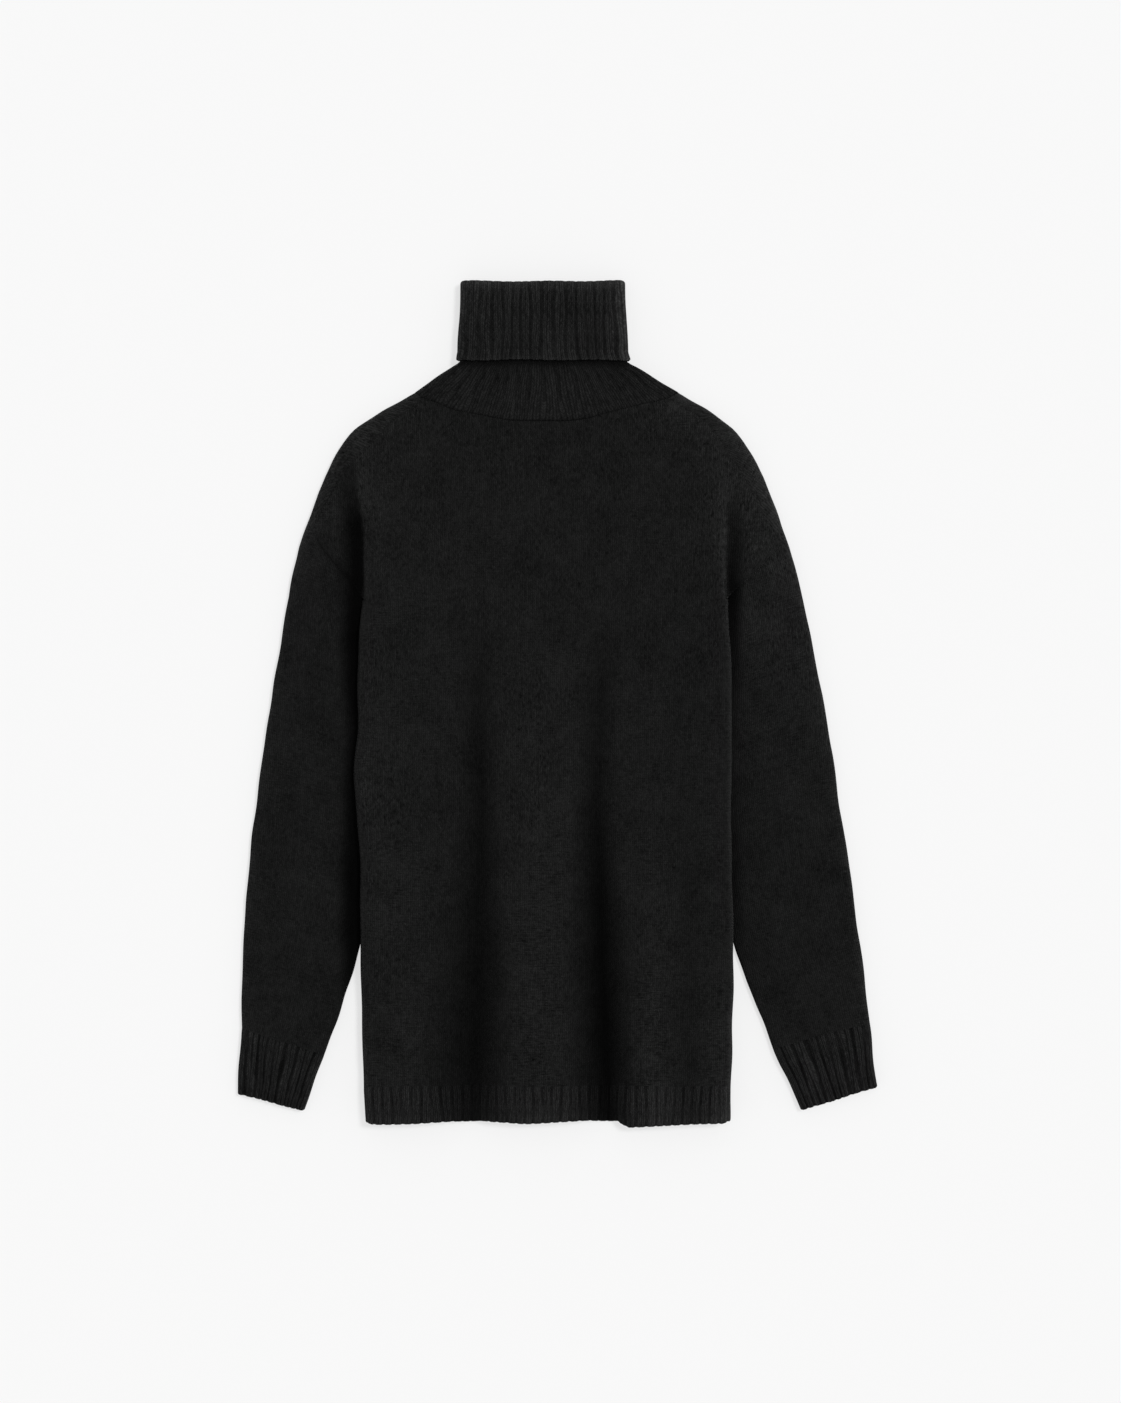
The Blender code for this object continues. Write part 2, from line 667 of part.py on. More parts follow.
def near_indices(known, points):
    """For each point, the indices of the known points at the same place."""
    tree = kdtree.KDTree(len(known))
    for index, point in enumerate(known):
        tree.insert(point, index)
    tree.balance()
    return [[index for _, index, _ in tree.find_range(point, SAME_PLACE)] for point in points]


def shared_normals(patches, seam_points, fixed):
    """Normals of all patches, made the same wherever two of them meet. Those at the seam
    points are fixed."""
    points = np.concatenate([patch.points.reshape(-1, 3) for patch in patches])
    normals = np.concatenate([grid_normals(patch).reshape(-1, 3) for patch in patches])
    matched = unit(np.array([normals[near].sum(axis=0) for near in near_indices(points, points)]))
    for row, near in enumerate(near_indices(seam_points, points)):
        if near:
            matched[row] = fixed[near[0]]
    found, at = [], 0
    for patch in patches:
        count = patch.points.shape[0] * patch.points.shape[1]
        found.append(matched[at:at + count].reshape(patch.points.shape))
        at += count
    return found


def grid_quads(rows, columns, closed, flip):
    index = np.arange(rows * columns).reshape(rows, columns)
    right = np.roll(index, -1, axis=1)
    corners = [index[:-1], right[:-1], right[1:], index[1:]]
    if not closed:
        corners = [corner[:, :-1] for corner in corners]
    quads = np.stack(corners, axis=-1).reshape(-1, 4)
    return quads[:, ::-1] if flip else quads


def welded(parts):
    """Joins grids that share points: (outer, inner, quads) of the whole sheet."""
    outer, inner, quads, known = [], [], [], {}
    for patch, outside, inside in parts:
        rows, columns = patch.points.shape[:2]
        keys = [tuple(key) for key in np.round(patch.points.reshape(-1, 3), SAME_DIGITS)]
        names = []
        for key, out, back in zip(keys, outside.reshape(-1, 3), inside.reshape(-1, 3)):
            if key not in known:
                known[key] = len(outer)
                outer.append(out)
                inner.append(back)
            names.append(known[key])
        local = grid_quads(rows, columns, patch.closed, patch.flip)
        quads.append(np.array(names)[local])
    return np.array(outer), np.array(inner), np.concatenate(quads)


def rim_edges(quads):
    """Edges used by one face alone, in that face's direction."""
    starts = quads.ravel()
    ends = np.roll(quads, -1, axis=1).ravel()
    pairs = set(zip(starts.tolist(), ends.tolist()))
    return sorted((a, b) for a, b in pairs if (b, a) not in pairs)


def drawn_in(outer, inner, rim, distance):
    """Moves a sheet's rim inwards, which leaves the gap of a seam."""
    move = np.zeros_like(outer)
    for a, b in rim:
        normal = outer[a] - inner[a] + outer[b] - inner[b]
        inward = unit(np.cross(normal, outer[b] - outer[a]))
        move[a] += inward
        move[b] += inward
    move = unit(move) * distance
    outer, inner = outer + move, inner + move
    outer[:, 2] = np.maximum(outer[:, 2], 0.0)
    return outer, inner


Wall = namedtuple("Wall", "name vertices faces colour")


def solid(name, parts, colour):
    """A closed wall between the outer and the inner points of its grids."""
    outer, inner, quads = welded(parts)
    rim = rim_edges(quads)
    outer, inner = drawn_in(outer, inner, rim, 0.5 * SEAM_GAP)
    count = len(outer)
    faces = quads.tolist() + (quads[:, ::-1] + count).tolist()
    faces += [(b, a, a + count, b + count) for a, b in rim]
    return Wall(name, np.concatenate([outer, inner]), faces, colour)


def plain_wall(name, patches, normals):
    parts = []
    for patch, normal in zip(patches, normals):
        parts.append((patch, patch.points, patch.points - normal * KNIT_WALL))
    return solid(name, parts, KNIT_COLOUR)


def finer(grid, shares, new_shares):
    """The same rows with their columns at new shares, on the straight lines between."""
    rows = [[np.interp(new_shares, shares, row[:, axis]) for axis in range(3)] for row in grid]
    return np.array(rows).transpose(0, 2, 1)


def rib_wave(shares, ribs):
    """1 on the top of each rib and 0 between two ribs."""
    return 0.5 - 0.5 * np.cos(2.0 * math.pi * ribs * shares)


def plain_band(name, patch, normals):
    """A band without ribs, such as one on the underside, where they are pressed flat."""
    inner = patch.points - normals * RIB_WALL
    return solid(name, [(patch, patch.points, inner)], RIB_COLOUR)


def ribbed_band(name, patch, normals, ribs):
    """An open band with ribs across its rows, plain where it meets the body."""
    shares = line_shares(patch.points[-1])
    first, last = shares[:len(ROLL_ANGLES)], shares[-len(ROLL_ANGLES):]
    wanted = np.linspace(0.0, 1.0, POINTS_PER_RIB * ribs + 1)
    off_roll = (wanted > first[-1] + RIB_FROM_ROLL) & (wanted < last[0] - RIB_FROM_ROLL)
    new_shares = np.concatenate([first, wanted[off_roll], last])
    points = finer(patch.points, shares, new_shares)
    inner = finer(patch.points - normals * RIB_WALL, shares, new_shares)
    relief = RIB_RELIEF * rib_wave(new_shares, ribs)[:, None] * unit(points - inner)
    relief[-1] = 0.0
    patch = patch._replace(points=points)
    return solid(name, [(patch, points + relief, inner)], RIB_COLOUR)


def ring_halves(grid, count):
    """The upper half of a closed grid's rows, which has count points, and the lower one."""
    return grid[:, :count], np.concatenate([grid[:, count - 1:], grid[:, :1]], axis=1)


def ribbed_ring(name, patch, normals, count, ribs, relief_rows):
    """A closed ring with ribs across its upper half, which has count points. relief_rows
    says where they show: 1 on the outer points, -1 on the inner ones, where the band is
    turned over, and 0 nowhere."""
    shares = [line_shares(half[0]) for half in ring_halves(patch.points, count)]
    new_shares = [np.linspace(0.0, 1.0, steps, endpoint=False)
                  for steps in (POINTS_PER_RIB * ribs, UNDER_POINTS)]

    def resampled(grid):
        halves = zip(ring_halves(grid, count), shares, new_shares)
        return np.concatenate([finer(half, old, new) for half, old, new in halves], axis=1)

    points = resampled(patch.points)
    inner = resampled(patch.points - normals * RIB_WALL)
    wave = np.concatenate([rib_wave(new_shares[0], ribs), np.zeros(UNDER_POINTS)])
    relief = RIB_RELIEF * wave[:, None] * unit(points - inner)
    rows = np.array(relief_rows)[:, None, None]
    outer = points + relief * (rows > 0)
    inner = inner - relief * (rows < 0)
    return solid(name, [(patch._replace(points=points), outer, inner)], RIB_COLOUR)


# ---------------------------------------------------------------- objects
def make_material(name, colour):
    material = bpy.data.materials.new(name)
    material.use_nodes = True
    shader = material.node_tree.nodes["Principled BSDF"]
    shader.inputs["Base Color"].default_value = colour
    shader.inputs["Roughness"].default_value = KNIT_ROUGHNESS
    shader.inputs["Metallic"].default_value = 0.0
    return material


def make_object(collection, wall, origin):
    mesh = bpy.data.meshes.new(wall.name)
    mesh.from_pydata((wall.vertices - origin).tolist(), [], wall.faces)
    mesh.update()
    mesh.shade_smooth()
    mesh.materials.append(make_material(wall.name, wall.colour))
    collection.objects.link(bpy.data.objects.new(wall.name, mesh))


def collar_relief():
    """Where the collar's ribs show: on its stand and, turned over, on its outer fold."""
    plain = [0] * (len(collar_rings()) - len(TURN_RINGS) - RIBBED_NECK_RINGS)
    stand = [0] + [1] * (STAND_STEPS - 1 + RIBBED_NECK_RINGS)
    return stand + plain + [-1] * len(TURN_RINGS)


def make_walls():
    front = body_grid(False, SIDE_ROLL)
    back = body_grid(True, BACK_ROLL)[:, back_columns()]
    flaps = {side: shoulder_flap(side) for side in SIDES}
    sleeves = {side: sleeve_grid(side) for side in SIDES}
    upper, lower = neck_seam_halves(front, back, flaps)
    patches = {
        "front": [Patch(front, False, False)],
        "back": [Patch(back, False, True)] + [Patch(flaps[side], False, True) for side in SIDES],
        "hem_front": [Patch(hem_grid(False, SIDE_ROLL), False, False)],
        "hem_back": [Patch(hem_grid(True, BACK_ROLL)[:, back_columns()], False, True)],
        "collar": [Patch(collar_grid(upper, lower), True, False)],
    }
    for side, sleeve in sleeves.items():
        mirrored = side == "left"
        patches["sleeve_" + side] = [Patch(sleeve, True, mirrored)]
        patches["cuff_" + side] = [Patch(cuff_grid(side, sleeve[-1]), True, mirrored)]

    every_patch = [patch for found in patches.values() for patch in found]
    every_normal = iter(shared_normals(every_patch, *seam_normals(sleeves, flaps)))
    normals = {name: [next(every_normal) for _ in found] for name, found in patches.items()}

    walls = []
    for name in ("front", "back", "sleeve_right", "sleeve_left"):
        walls.append(plain_wall(name, patches[name], normals[name]))
    for name in ("hem_front", "hem_back", "collar", "cuff_right", "cuff_left"):
        patch, normal = patches[name][0], normals[name][0]
        if name == "hem_front":
            wall = ribbed_band(name, patch, normal, RIBS_HEM)
        elif name == "hem_back":
            wall = plain_band(name, patch, normal)
        elif name == "collar":
            wall = ribbed_ring(name, patch, normal, len(upper), RIBS_COLLAR, collar_relief())
        else:
            relief_rows = [0] + [1] * (CUFF_ROWS - 1)
            wall = ribbed_ring(name, patch, normal, CUFF_UPPER_POINTS, RIBS_CUFF, relief_rows)
        walls.append(wall)
    return walls


def main():
    for old in list(bpy.data.objects):
        bpy.data.objects.remove(old, do_unlink=True)
    collection = bpy.data.collections.new(COLLECTION)
    bpy.context.scene.collection.children.link(collection)
    walls = make_walls()
    points = np.concatenate([wall.vertices for wall in walls])
    middle = 0.5 * (points.min(axis=0) + points.max(axis=0))
    origin = np.array([middle[0], middle[1], 0.0])
    for wall in walls:
        make_object(collection, wall, origin)


OUTLINE = outline_points()
main()
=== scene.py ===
import math
from collections import namedtuple

import bpy
import numpy as np
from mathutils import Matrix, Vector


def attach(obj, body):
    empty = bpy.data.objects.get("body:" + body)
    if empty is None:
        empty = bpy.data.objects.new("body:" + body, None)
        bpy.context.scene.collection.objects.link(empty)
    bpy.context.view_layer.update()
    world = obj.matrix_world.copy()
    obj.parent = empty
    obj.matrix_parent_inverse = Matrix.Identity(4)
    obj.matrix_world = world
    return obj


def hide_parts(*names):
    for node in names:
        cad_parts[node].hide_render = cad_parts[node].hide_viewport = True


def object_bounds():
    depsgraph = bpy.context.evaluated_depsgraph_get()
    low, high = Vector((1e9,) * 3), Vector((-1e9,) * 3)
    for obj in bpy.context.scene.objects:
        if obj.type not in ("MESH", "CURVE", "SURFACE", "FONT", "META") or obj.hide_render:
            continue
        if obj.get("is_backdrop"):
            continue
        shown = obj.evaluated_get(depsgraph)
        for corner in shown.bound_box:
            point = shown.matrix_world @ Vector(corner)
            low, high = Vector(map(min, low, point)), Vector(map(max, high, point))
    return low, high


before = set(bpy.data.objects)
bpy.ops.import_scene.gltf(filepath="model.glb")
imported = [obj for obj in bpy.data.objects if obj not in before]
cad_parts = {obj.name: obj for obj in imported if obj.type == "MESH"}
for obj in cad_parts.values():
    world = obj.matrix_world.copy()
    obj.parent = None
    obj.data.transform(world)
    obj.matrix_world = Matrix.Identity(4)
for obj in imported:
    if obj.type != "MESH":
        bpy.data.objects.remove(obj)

# The knitted turtleneck sweater, dressed. Each knitted piece is a fine closed shell on the
# form of its solid, with its ribs, rolled edges, seams and soft creases, and a knit material.
#
# Units are metres. While it is drawn, X runs across the sweater from the middle line of its
# body, Y runs up from the lowest point of its hem to the collar, and Z is the height above
# the surface it lies on. ORIGIN then moves it into the row's frame. Left and right are the
# wearer's: the left sleeve lies on the +X side.
CAD_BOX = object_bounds()
ORIGIN = np.array([0.0116938, 0.4310502, 0.0])

# ---------------------------------------------------------------- driving dimensions
def table(columns, *rows):
    """Rows of numbers with the names of their columns."""
    kind = namedtuple("Row", columns)
    return [kind(*row) for row in rows]


KNIT_WALL = 0.0023          # plain knit
RIB_WALL = 0.0028           # ribbed bands, between the ribs

HEM_RIB_TOP = 0.043         # where the hem band meets the body
UNDERARM = 0.5375           # where the side seam ends and the sleeve begins
COLLAR_TOP = 0.8620         # the fold of the collar
COLLAR_EDGE = 0.7823        # free edge of the turned-down part
COLLAR_SHIFT = -0.0031      # the collar sits a little to the wearer's right
NECK_SHIFT = -0.0016        # and the foot of the neck less so

EDGE_HEIGHT = 0.0076        # a folded edge of body or sleeve
EDGE_ROLL = 0.0045          # how far that edge takes to round off
SLEEVE_CREST = 0.0084       # sleeve, in the middle of its width
TUCKED_HEIGHT = 0.0058      # sleeve where it lies under the body's side
CUFF_HEIGHT = 0.0076
SIDE_ROLL = 0.008           # rounding of the front down to the side seam
BACK_ROLL = 0.0045          # rounding of the back up to the side seam
STRIP_AT_ARMHOLE = 0.0085   # width of the back's strip over the shoulder, at the armhole
STRIP_SHARES = (0.25, 0.5, 0.8, 1.0)        # where that strip has its points
BACK_HEM_EDGE = 0.0057      # lower edge of the back's hem band
EDGE_BLEND = 0.045          # how far in from the outline the height is that of its own place
ARM_BLEND = 0.050           # how far the chest takes to level off towards the arm
SLEEVE_FREE_BELOW = 0.08    # the sleeve's inner edge is clear of the body
SLEEVE_TUCKED_ABOVE = 0.16  # and here it is pressed flat under the body's side

# The rows of a panel follow its side seams next to them, and its shoulders and neck in the
# middle. These are shares of its width.
SIDE_BAND = 0.02
SIDE_BLEND = 0.28
# Above the underarm the rounded side gives way to the open chest, and the lifted back comes
# down. These are shares of the armhole.
ROLL_FADES = 0.06
BACK_SETTLES = 0.3
# Below the underarm the side lies over the sleeve's inner edge. Next to the side the cloth
# follows it, and further in it knows nothing of that from here up.
OVERLAP_FROM = 0.45

SIDES = {"right": -1.0, "left": 1.0}

# Half width of the body from its middle line, and the height of its side seam. The back
# is lifted there where it lies on the sleeve.
BODY_SIDES = table(
    "y right left back_lift seam_height",
    (0.0000, 0.1836, 0.1874, 0.0000, 0.0050),    # hem
    (0.0430, 0.1862, 0.1892, 0.0000, 0.0050),    # top of the hem band
    (0.1200, 0.1878, 0.1910, 0.0000, 0.0050),
    (0.1860, 0.1894, 0.1908, 0.0062, 0.0105),    # the sleeves part from the body
    (0.3300, 0.1892, 0.1886, 0.0062, 0.0105),
    (0.5050, 0.1932, 0.1895, 0.0062, 0.0105),
    (UNDERARM, 0.1938, 0.1909, 0.0000, 0.0029),
    (0.6000, 0.1925, 0.1886, 0.0000, 0.0029),
    (0.6700, 0.1948, 0.1850, 0.0000, 0.0029),    # the crease ends on the shoulder
)
LIFT_FULL = 0.024           # how far in from the side the back stays lifted
LIFT_END = 0.060            # where it is down on the surface again

# How high the front stands over the surface, before its folds.
CRESTS = table(
    "y height",
    (0.000, 0.0180), (0.200, 0.0190), (0.450, 0.0180), (0.540, 0.0165), (0.620, 0.0125),
    (0.700, 0.0098), (0.760, 0.0092),
)

# Long soft folds of the front: where the trough lies at the hem, halfway and at its end, how far its two
# flanks reach, how deep it is, between which heights it fades out, and how far its painted shade reaches
# to either side at the hem.
FOLDS = table(
    "x_hem x_half x_end flank_right flank_left depth y_full y_end dark_right dark_left",
    (-0.0735, -0.0655, -0.0675, 0.052, 0.026, 0.0112, 0.06, 0.530, 0.050, 0.034),
    (0.0640, 0.0520, 0.0610, 0.046, 0.028, 0.0126, 0.10, 0.550, 0.038, 0.026),
)

# The crease between the body's side and the upper sleeve: the reach of its flanks and its
# floor, and the heights between which it runs out.
CREASE_BODY_FLANK = 0.012
CREASE_FLOOR = 0.003
CREASE_ARM_FLANK = 0.035
CREASE_DEEP_BELOW = 0.575
CREASE_ENDS = 0.675

# Outline of the shoulder and the forward shoulder seam, from next to the armhole to the neck.
SHOULDER = "edge_x edge_y seam_x seam_y"
SHOULDERS = {
    "right": table(
        SHOULDER,
        (0.2305, 0.6497, 0.2203, 0.6426), (0.2050, 0.7007, 0.1938, 0.6803),
        (0.1714, 0.7283, 0.1612, 0.7140), (0.1346, 0.7497, 0.1275, 0.7446),
    ),
    "left": table(
        SHOULDER,
        (0.2264, 0.6467, 0.2132, 0.6365), (0.1989, 0.7007, 0.1826, 0.6905),
        (0.1663, 0.7293, 0.1561, 0.7222), (0.1357, 0.7487, 0.1244, 0.7426),
    ),
}

# The sleeves, from the armhole to the seam of the cuff and then the cuff's free edge.
STATION = "outer_x outer_y inner_x inner_y"
SLEEVES = {
    "right": table(
        STATION,
        (0.2428, 0.6160, 0.1921, 0.5375), (0.2611, 0.5477, 0.1900, 0.5120),
        (0.2713, 0.4865, 0.1836, 0.4559), (0.2836, 0.4131, 0.1765, 0.3896),
        (0.2948, 0.3335, 0.1744, 0.3182), (0.3019, 0.2723, 0.1795, 0.2519),
        (0.3070, 0.2111, 0.1893, 0.1887), (0.3101, 0.1550, 0.2074, 0.1265),
        (0.3111, 0.1010, 0.2270, 0.0734),
    ),
    "left": table(
        STATION,
        (0.2428, 0.5998, 0.1891, 0.5375), (0.2556, 0.5579, 0.1872, 0.5120),
        (0.2703, 0.4865, 0.1816, 0.4559), (0.2846, 0.4131, 0.1754, 0.3896),
        (0.2968, 0.3335, 0.1744, 0.3182), (0.3065, 0.2723, 0.1795, 0.2519),
        (0.3152, 0.2111, 0.1910, 0.1887), (0.3228, 0.1550, 0.2130, 0.1295),
        (0.3284, 0.1071, 0.2318, 0.0796),
    ),
}
CUFF_EDGES = {
    "right": (0.3147, 0.0367, 0.2456, 0.0194),
    "left": (0.3381, 0.0439, 0.2592, 0.0194),
}

# Seam of the collar on the front, and how far it dips on the back.
FRONT_NECK = table(
    "x y",
    (-0.1275, 0.7446), (-0.0877, 0.7303), (-0.0286, 0.7207), (0.0260, 0.7207), (0.0755, 0.7318),
    (0.1244, 0.7426),
)
BACK_NECK_DIP = 0.003

# Rings of the collar above its seam, on the face that shows on the neck. The neck stands
# up to its crease, turns over and comes down outside itself.
RING = "y half_width low high"
NECK_RINGS = table(
    RING,
    (0.7755, 0.0945, 0.0018, 0.0118), (0.7785, 0.0890, 0.0026, 0.0124),
    (0.7815, 0.0851, 0.0034, 0.0127), (0.7850, 0.0844, 0.0036, 0.0128),
    (0.8220, 0.0822, 0.0036, 0.0128),
)
TURN_RINGS = table(
    RING,
    (0.8220, 0.0832, 0.0028, 0.0136), (0.7900, 0.0846, 0.0028, 0.0136),
    (COLLAR_EDGE, 0.0868, 0.0028, 0.0138),
)
CREASE_RADIUS = 0.0004
NECK_TOP_HALF_WIDTH = 0.0812
SHIFT_REACH = 0.012         # how far up its rings the collar comes to its own middle line

# Lower edge of the front's hem band.
HEM_EDGE = table(
    "x y",
    (-0.1835, 0.0053), (-0.1780, 0.0044), (-0.1370, 0.0037), (-0.0980, 0.0067), (-0.0630, 0.0066),
    (-0.0220, 0.0050), (0.0200, 0.0061), (0.0480, 0.0071), (0.0720, 0.0066), (0.0830, 0.0006),
    (0.1300, 0.0035), (0.1500, 0.0043), (0.1810, 0.0047), (0.1870, 0.0065),
)

RIBS_HEM = 41               # across the front
RIBS_CUFF = 9               # across the upper side
RIBS_COLLAR = 16            # across the front half of the neck

# Shallow creases and ridges besides the long folds: from one end to the other, how wide to
# either side, and how deep. A negative depth is a ridge.
CREASES = table(
    "x0 y0 x1 y1 width depth",
    (-0.120, 0.130, -0.103, 0.345, 0.017, 0.0012),    # below the right chest
    (-0.150, 0.245, -0.143, 0.420, 0.016, 0.0007),
    (0.147, 0.050, 0.145, 0.280, 0.019, 0.0022),      # near the left hem
    (-0.016, 0.480, 0.040, 0.374, 0.015, -0.0011),    # between the folds
    (0.030, 0.545, 0.066, 0.436, 0.013, 0.0010),
    (0.012, 0.330, 0.045, 0.250, 0.014, 0.0009),
    (-0.027, 0.672, 0.055, 0.650, 0.018, 0.0009),     # across the chest
    (-0.110, 0.560, -0.050, 0.540, 0.020, -0.0008),
    (0.186, 0.640, 0.120, 0.566, 0.018, 0.0013),      # from the left shoulder
    (-0.186, 0.625, -0.130, 0.530, 0.018, 0.0011),    # from the right shoulder
    (-0.252, 0.545, -0.206, 0.498, 0.013, 0.0012),    # right sleeve
    (-0.275, 0.440, -0.205, 0.418, 0.014, -0.0008),
    (-0.292, 0.300, -0.215, 0.334, 0.015, 0.0010),
    (-0.298, 0.205, -0.225, 0.232, 0.014, 0.0009),
    (-0.300, 0.120, -0.240, 0.142, 0.012, -0.0009),
    (0.206, 0.545, 0.258, 0.472, 0.014, 0.0012),      # left sleeve
    (0.214, 0.430, 0.278, 0.402, 0.014, -0.0009),
    (0.205, 0.372, 0.290, 0.330, 0.016, 0.0010),
    (0.232, 0.236, 0.306, 0.252, 0.014, 0.0009),
    (0.246, 0.150, 0.318, 0.128, 0.013, -0.0009),
)

CREASE_SWAY = 0.004         # how far a crease winds to either side
CREASE_TURNS = 9.0          # how much it winds, in radians from one end to the other
CREASE_STARTS = 40.0        # so that each one starts to wind in its own way
CREASE_FADE = 0.25          # share of its length over which it fades, inside and past each end

# Where the line of the body's side strays as the cloth lies: how far along the side to either
# way, and how far in.
STRAYS = table(
    "side y reach inward",
    ("right", 0.352, 0.045, -0.0058), ("right", 0.580, 0.060, 0.0060), ("right", 0.525, 0.038, 0.0030),
    ("left", 0.585, 0.055, 0.0042), ("left", 0.530, 0.032, 0.0034),
)
STRAY_ACROSS = 0.017        # how far across the cloth such a stray reaches

# How far the outline of sleeves and shoulders lies outside that of the solids, up the garment.
OUTLINE_EASES = table(
    "y right left",
    (0.000, 0.0000, 0.0018), (0.100, 0.0000, 0.0018), (0.300, 0.0006, 0.0022),
    (0.500, 0.0010, 0.0028), (0.541, 0.0004, 0.0022), (0.566, 0.0018, 0.0019),
    (0.590, 0.0033, 0.0030), (0.615, 0.0010, 0.0022), (0.640, 0.0000, 0.0026),
    (0.663, 0.0018, 0.0035), (0.690, 0.0002, 0.0020), (0.713, 0.0011, 0.0030),
    (0.7375, -0.0014, 0.0004), (0.755, -0.0006, 0.0000), (0.775, 0.0000, 0.0000),
)
OUTLINE_EASE_REACH = 0.030  # how far in the cloth moves with its outline

# Small waves of cloth that lies: how high or how far, where they start, and their lengths.
Waves = namedtuple("Waves", "amount seed lengths")
LIFT_WAVES = Waves(0.00030, 0.3, (0.021, 0.027, 0.034, 0.043))
BROAD_WAVES = Waves(0.00035, 2.1, (0.055, 0.071, 0.093))
SHIFT_X_WAVES = Waves(0.0005, 4.4, (0.033, 0.047, 0.061))
SHIFT_Y_WAVES = Waves(0.0005, 5.9, (0.031, 0.052, 0.067))
WAVE_TURN = 2.39996         # radians from the way of one wave to that of the next
WAVE_STARTS = 12.9898       # so that each one starts in its own place
FLAT_BELOW = 0.002          # cloth as low as this lies flat on the surface
FREE_OVER = 0.004           # and this much higher up it is quite free of it

# How finely the pieces are divided.
ROLL_ANGLES = np.radians(np.linspace(0.0, 90.0, 10))
EDGE_ANGLES = np.radians(np.linspace(15.0, 90.0, 6))
BODY_COLUMNS = 201
SHOULDER_COLUMNS = 36
NECK_COLUMNS = slice(SHOULDER_COLUMNS, -SHOULDER_COLUMNS)
BACK_SKIP = 4               # the back has only every so many of the front's columns below the neck
BODY_ROWS = 150
ARMHOLE_STEPS = 44
SHUT_STEPS = 16             # of the armhole, from the underarm, where its seam is quite shut
OPENING_STEPS = 8           # over which it comes to show
SLEEVE_RINGS = 160
HEM_ROWS = 16
CUFF_ROWS = 26
CUFF_UPPER_POINTS = 2 * len(EDGE_ANGLES) + ARMHOLE_STEPS + 3
STAND_STEPS = 20
CREASE_STEPS = 13
OUTLINE_STEPS = 24
RING_STEP = 0.0020          # between two rings of the collar
POINTS_PER_RIB = 12
UNDER_POINTS = 60

# Knit.
WALE = 0.0040               # width of a column of stitches
COURSE = 0.0028             # height of a row of stitches
SIDE_HEIGHT = 0.012         # of the front's rolled side
RELIEF = 0.0008             # of a rib
SIDEWAYS_RELIEF = 0.3       # share of it that a rib keeps where its face is upright
GROOVE_SHARP = 6            # powers: the higher, the narrower a rib's groove and its dip
DIP_SHARP = 30
DIP = 0.25                  # how deep the dip between its two columns is, as a share of a rib
# How a rib sways: by which share of a rib, how often across the band, where it starts, and
# over which length up the band it comes again.
SWAYS = table(
    "amount across start length",
    (0.20, 2.3, 1.0, math.inf), (0.05, 5.7, 3.0, 0.11), (0.03, 11.0, 7.0, -0.047),
)
RIM_ROUND = 0.0013          # over which an edge or a seam rounds off
RIM_ROWS = (0.12, 0.45, 1.0)        # shares of it at which a grid gets further rows
RIM_ROOM = 0.9              # share of the next row's distance that they may take up
FREE_DENT = 0.46 * RIB_WALL         # by which each face of a free edge closes
SEAM_DENT = 0.0003          # how deep a sewn seam lies
NECK_DENT = 0.0006          # and the collar's
ARMHOLE_DENT = 0.0003       # and the cloth to both sides of an armhole
HEM_LONGER = 0.0003         # how far the ribs reach past the cut edge, of the hem
COLLAR_LONGER = 0.0010      # of the collar
CUFF_LONGER = 0.0032        # and of a cuff
SEAM_SHADOW = 0.0014        # how far the dark of a seam reaches
COLLAR_EASE = 0.0006        # the ribs of the collar's sides draw it in
SCALLOP = 0.0006            # how far the grooves stay behind the ribs at a free edge
SCALLOP_REACH = 0.006       # how far in the ribs are drawn out
HEM_RIBS_FADE = 0.005       # how far from its seam the hem's ribs are full
CUFF_RIBS_FADE = 0.004      # and a cuff's
SHARP_ANGLE = math.radians(55.0)
SAME_DIGITS = 7             # to which two grids have the same point
TINY = 1e-12

# ---------------------------------------------------------------- small helpers
def smooth(t):
    """0 below 0, 1 above 1, with a soft start and end."""
    t = np.clip(t, 0.0, 1.0)
    return t * t * (3.0 - 2.0 * t)


def between(value, start, end):
    """0 up to the start and 1 from the end on, with a soft rise between them."""
    return smooth((value - start) / (end - start))


def mix(a, b, t):
    return a + (b - a) * t


def even(count):
    """Evenly spaced shares from 0 to 1."""
    return np.linspace(0.0, 1.0, count)


def column(rows, name):
    return np.array([getattr(row, name) for row in rows])


def along(rows, key, name, value):
    """The column called name of a table, read at a value of its key column."""
    return np.interp(value, column(rows, key), column(rows, name))


def curve(points, t):
    """A smooth curve through the points, read at t from 0 to 1."""
    points = np.asarray(points, float)
    tangents = np.gradient(points, axis=0)
    last = len(points) - 1
    place = np.clip(np.asarray(t, float) * last, 0.0, last)
    start = np.minimum(place.astype(int), last - 1)
    share = (place - start)[:, None]
    back = share - 1.0
    swing = back * back * share * tangents[start] + back * share * share * tangents[start + 1]
    return mix(points[start], points[start + 1], smooth(share)) + swing


def bell(distance, reach):
    return np.exp(-(distance / reach) ** 2)


def fading(distance, reach):
    """1 at no distance, and less the further on."""
    return np.exp(-np.maximum(distance, 0.0) / reach)


def lengths(points):
    """The length of each step from one row of points to the next."""
    return np.linalg.norm(np.diff(points, axis=0), axis=-1)


def run_up(steps):
    """How far each row is from the first one, after these steps."""
    return np.concatenate([np.zeros_like(steps[:1]), np.cumsum(steps, axis=0)])


def unit(vectors):
    length = np.linalg.norm(vectors, axis=-1, keepdims=True)
    return vectors / np.maximum(length, TINY)


def with_height(plan, height):
    return np.concatenate([plan, np.asarray(height)[..., None]], axis=-1)


# ---------------------------------------------------------------- plan of the garment
def side_x(side, y):
    """How far the body's side is from the middle line."""
    return along(BODY_SIDES, "y", side, y)


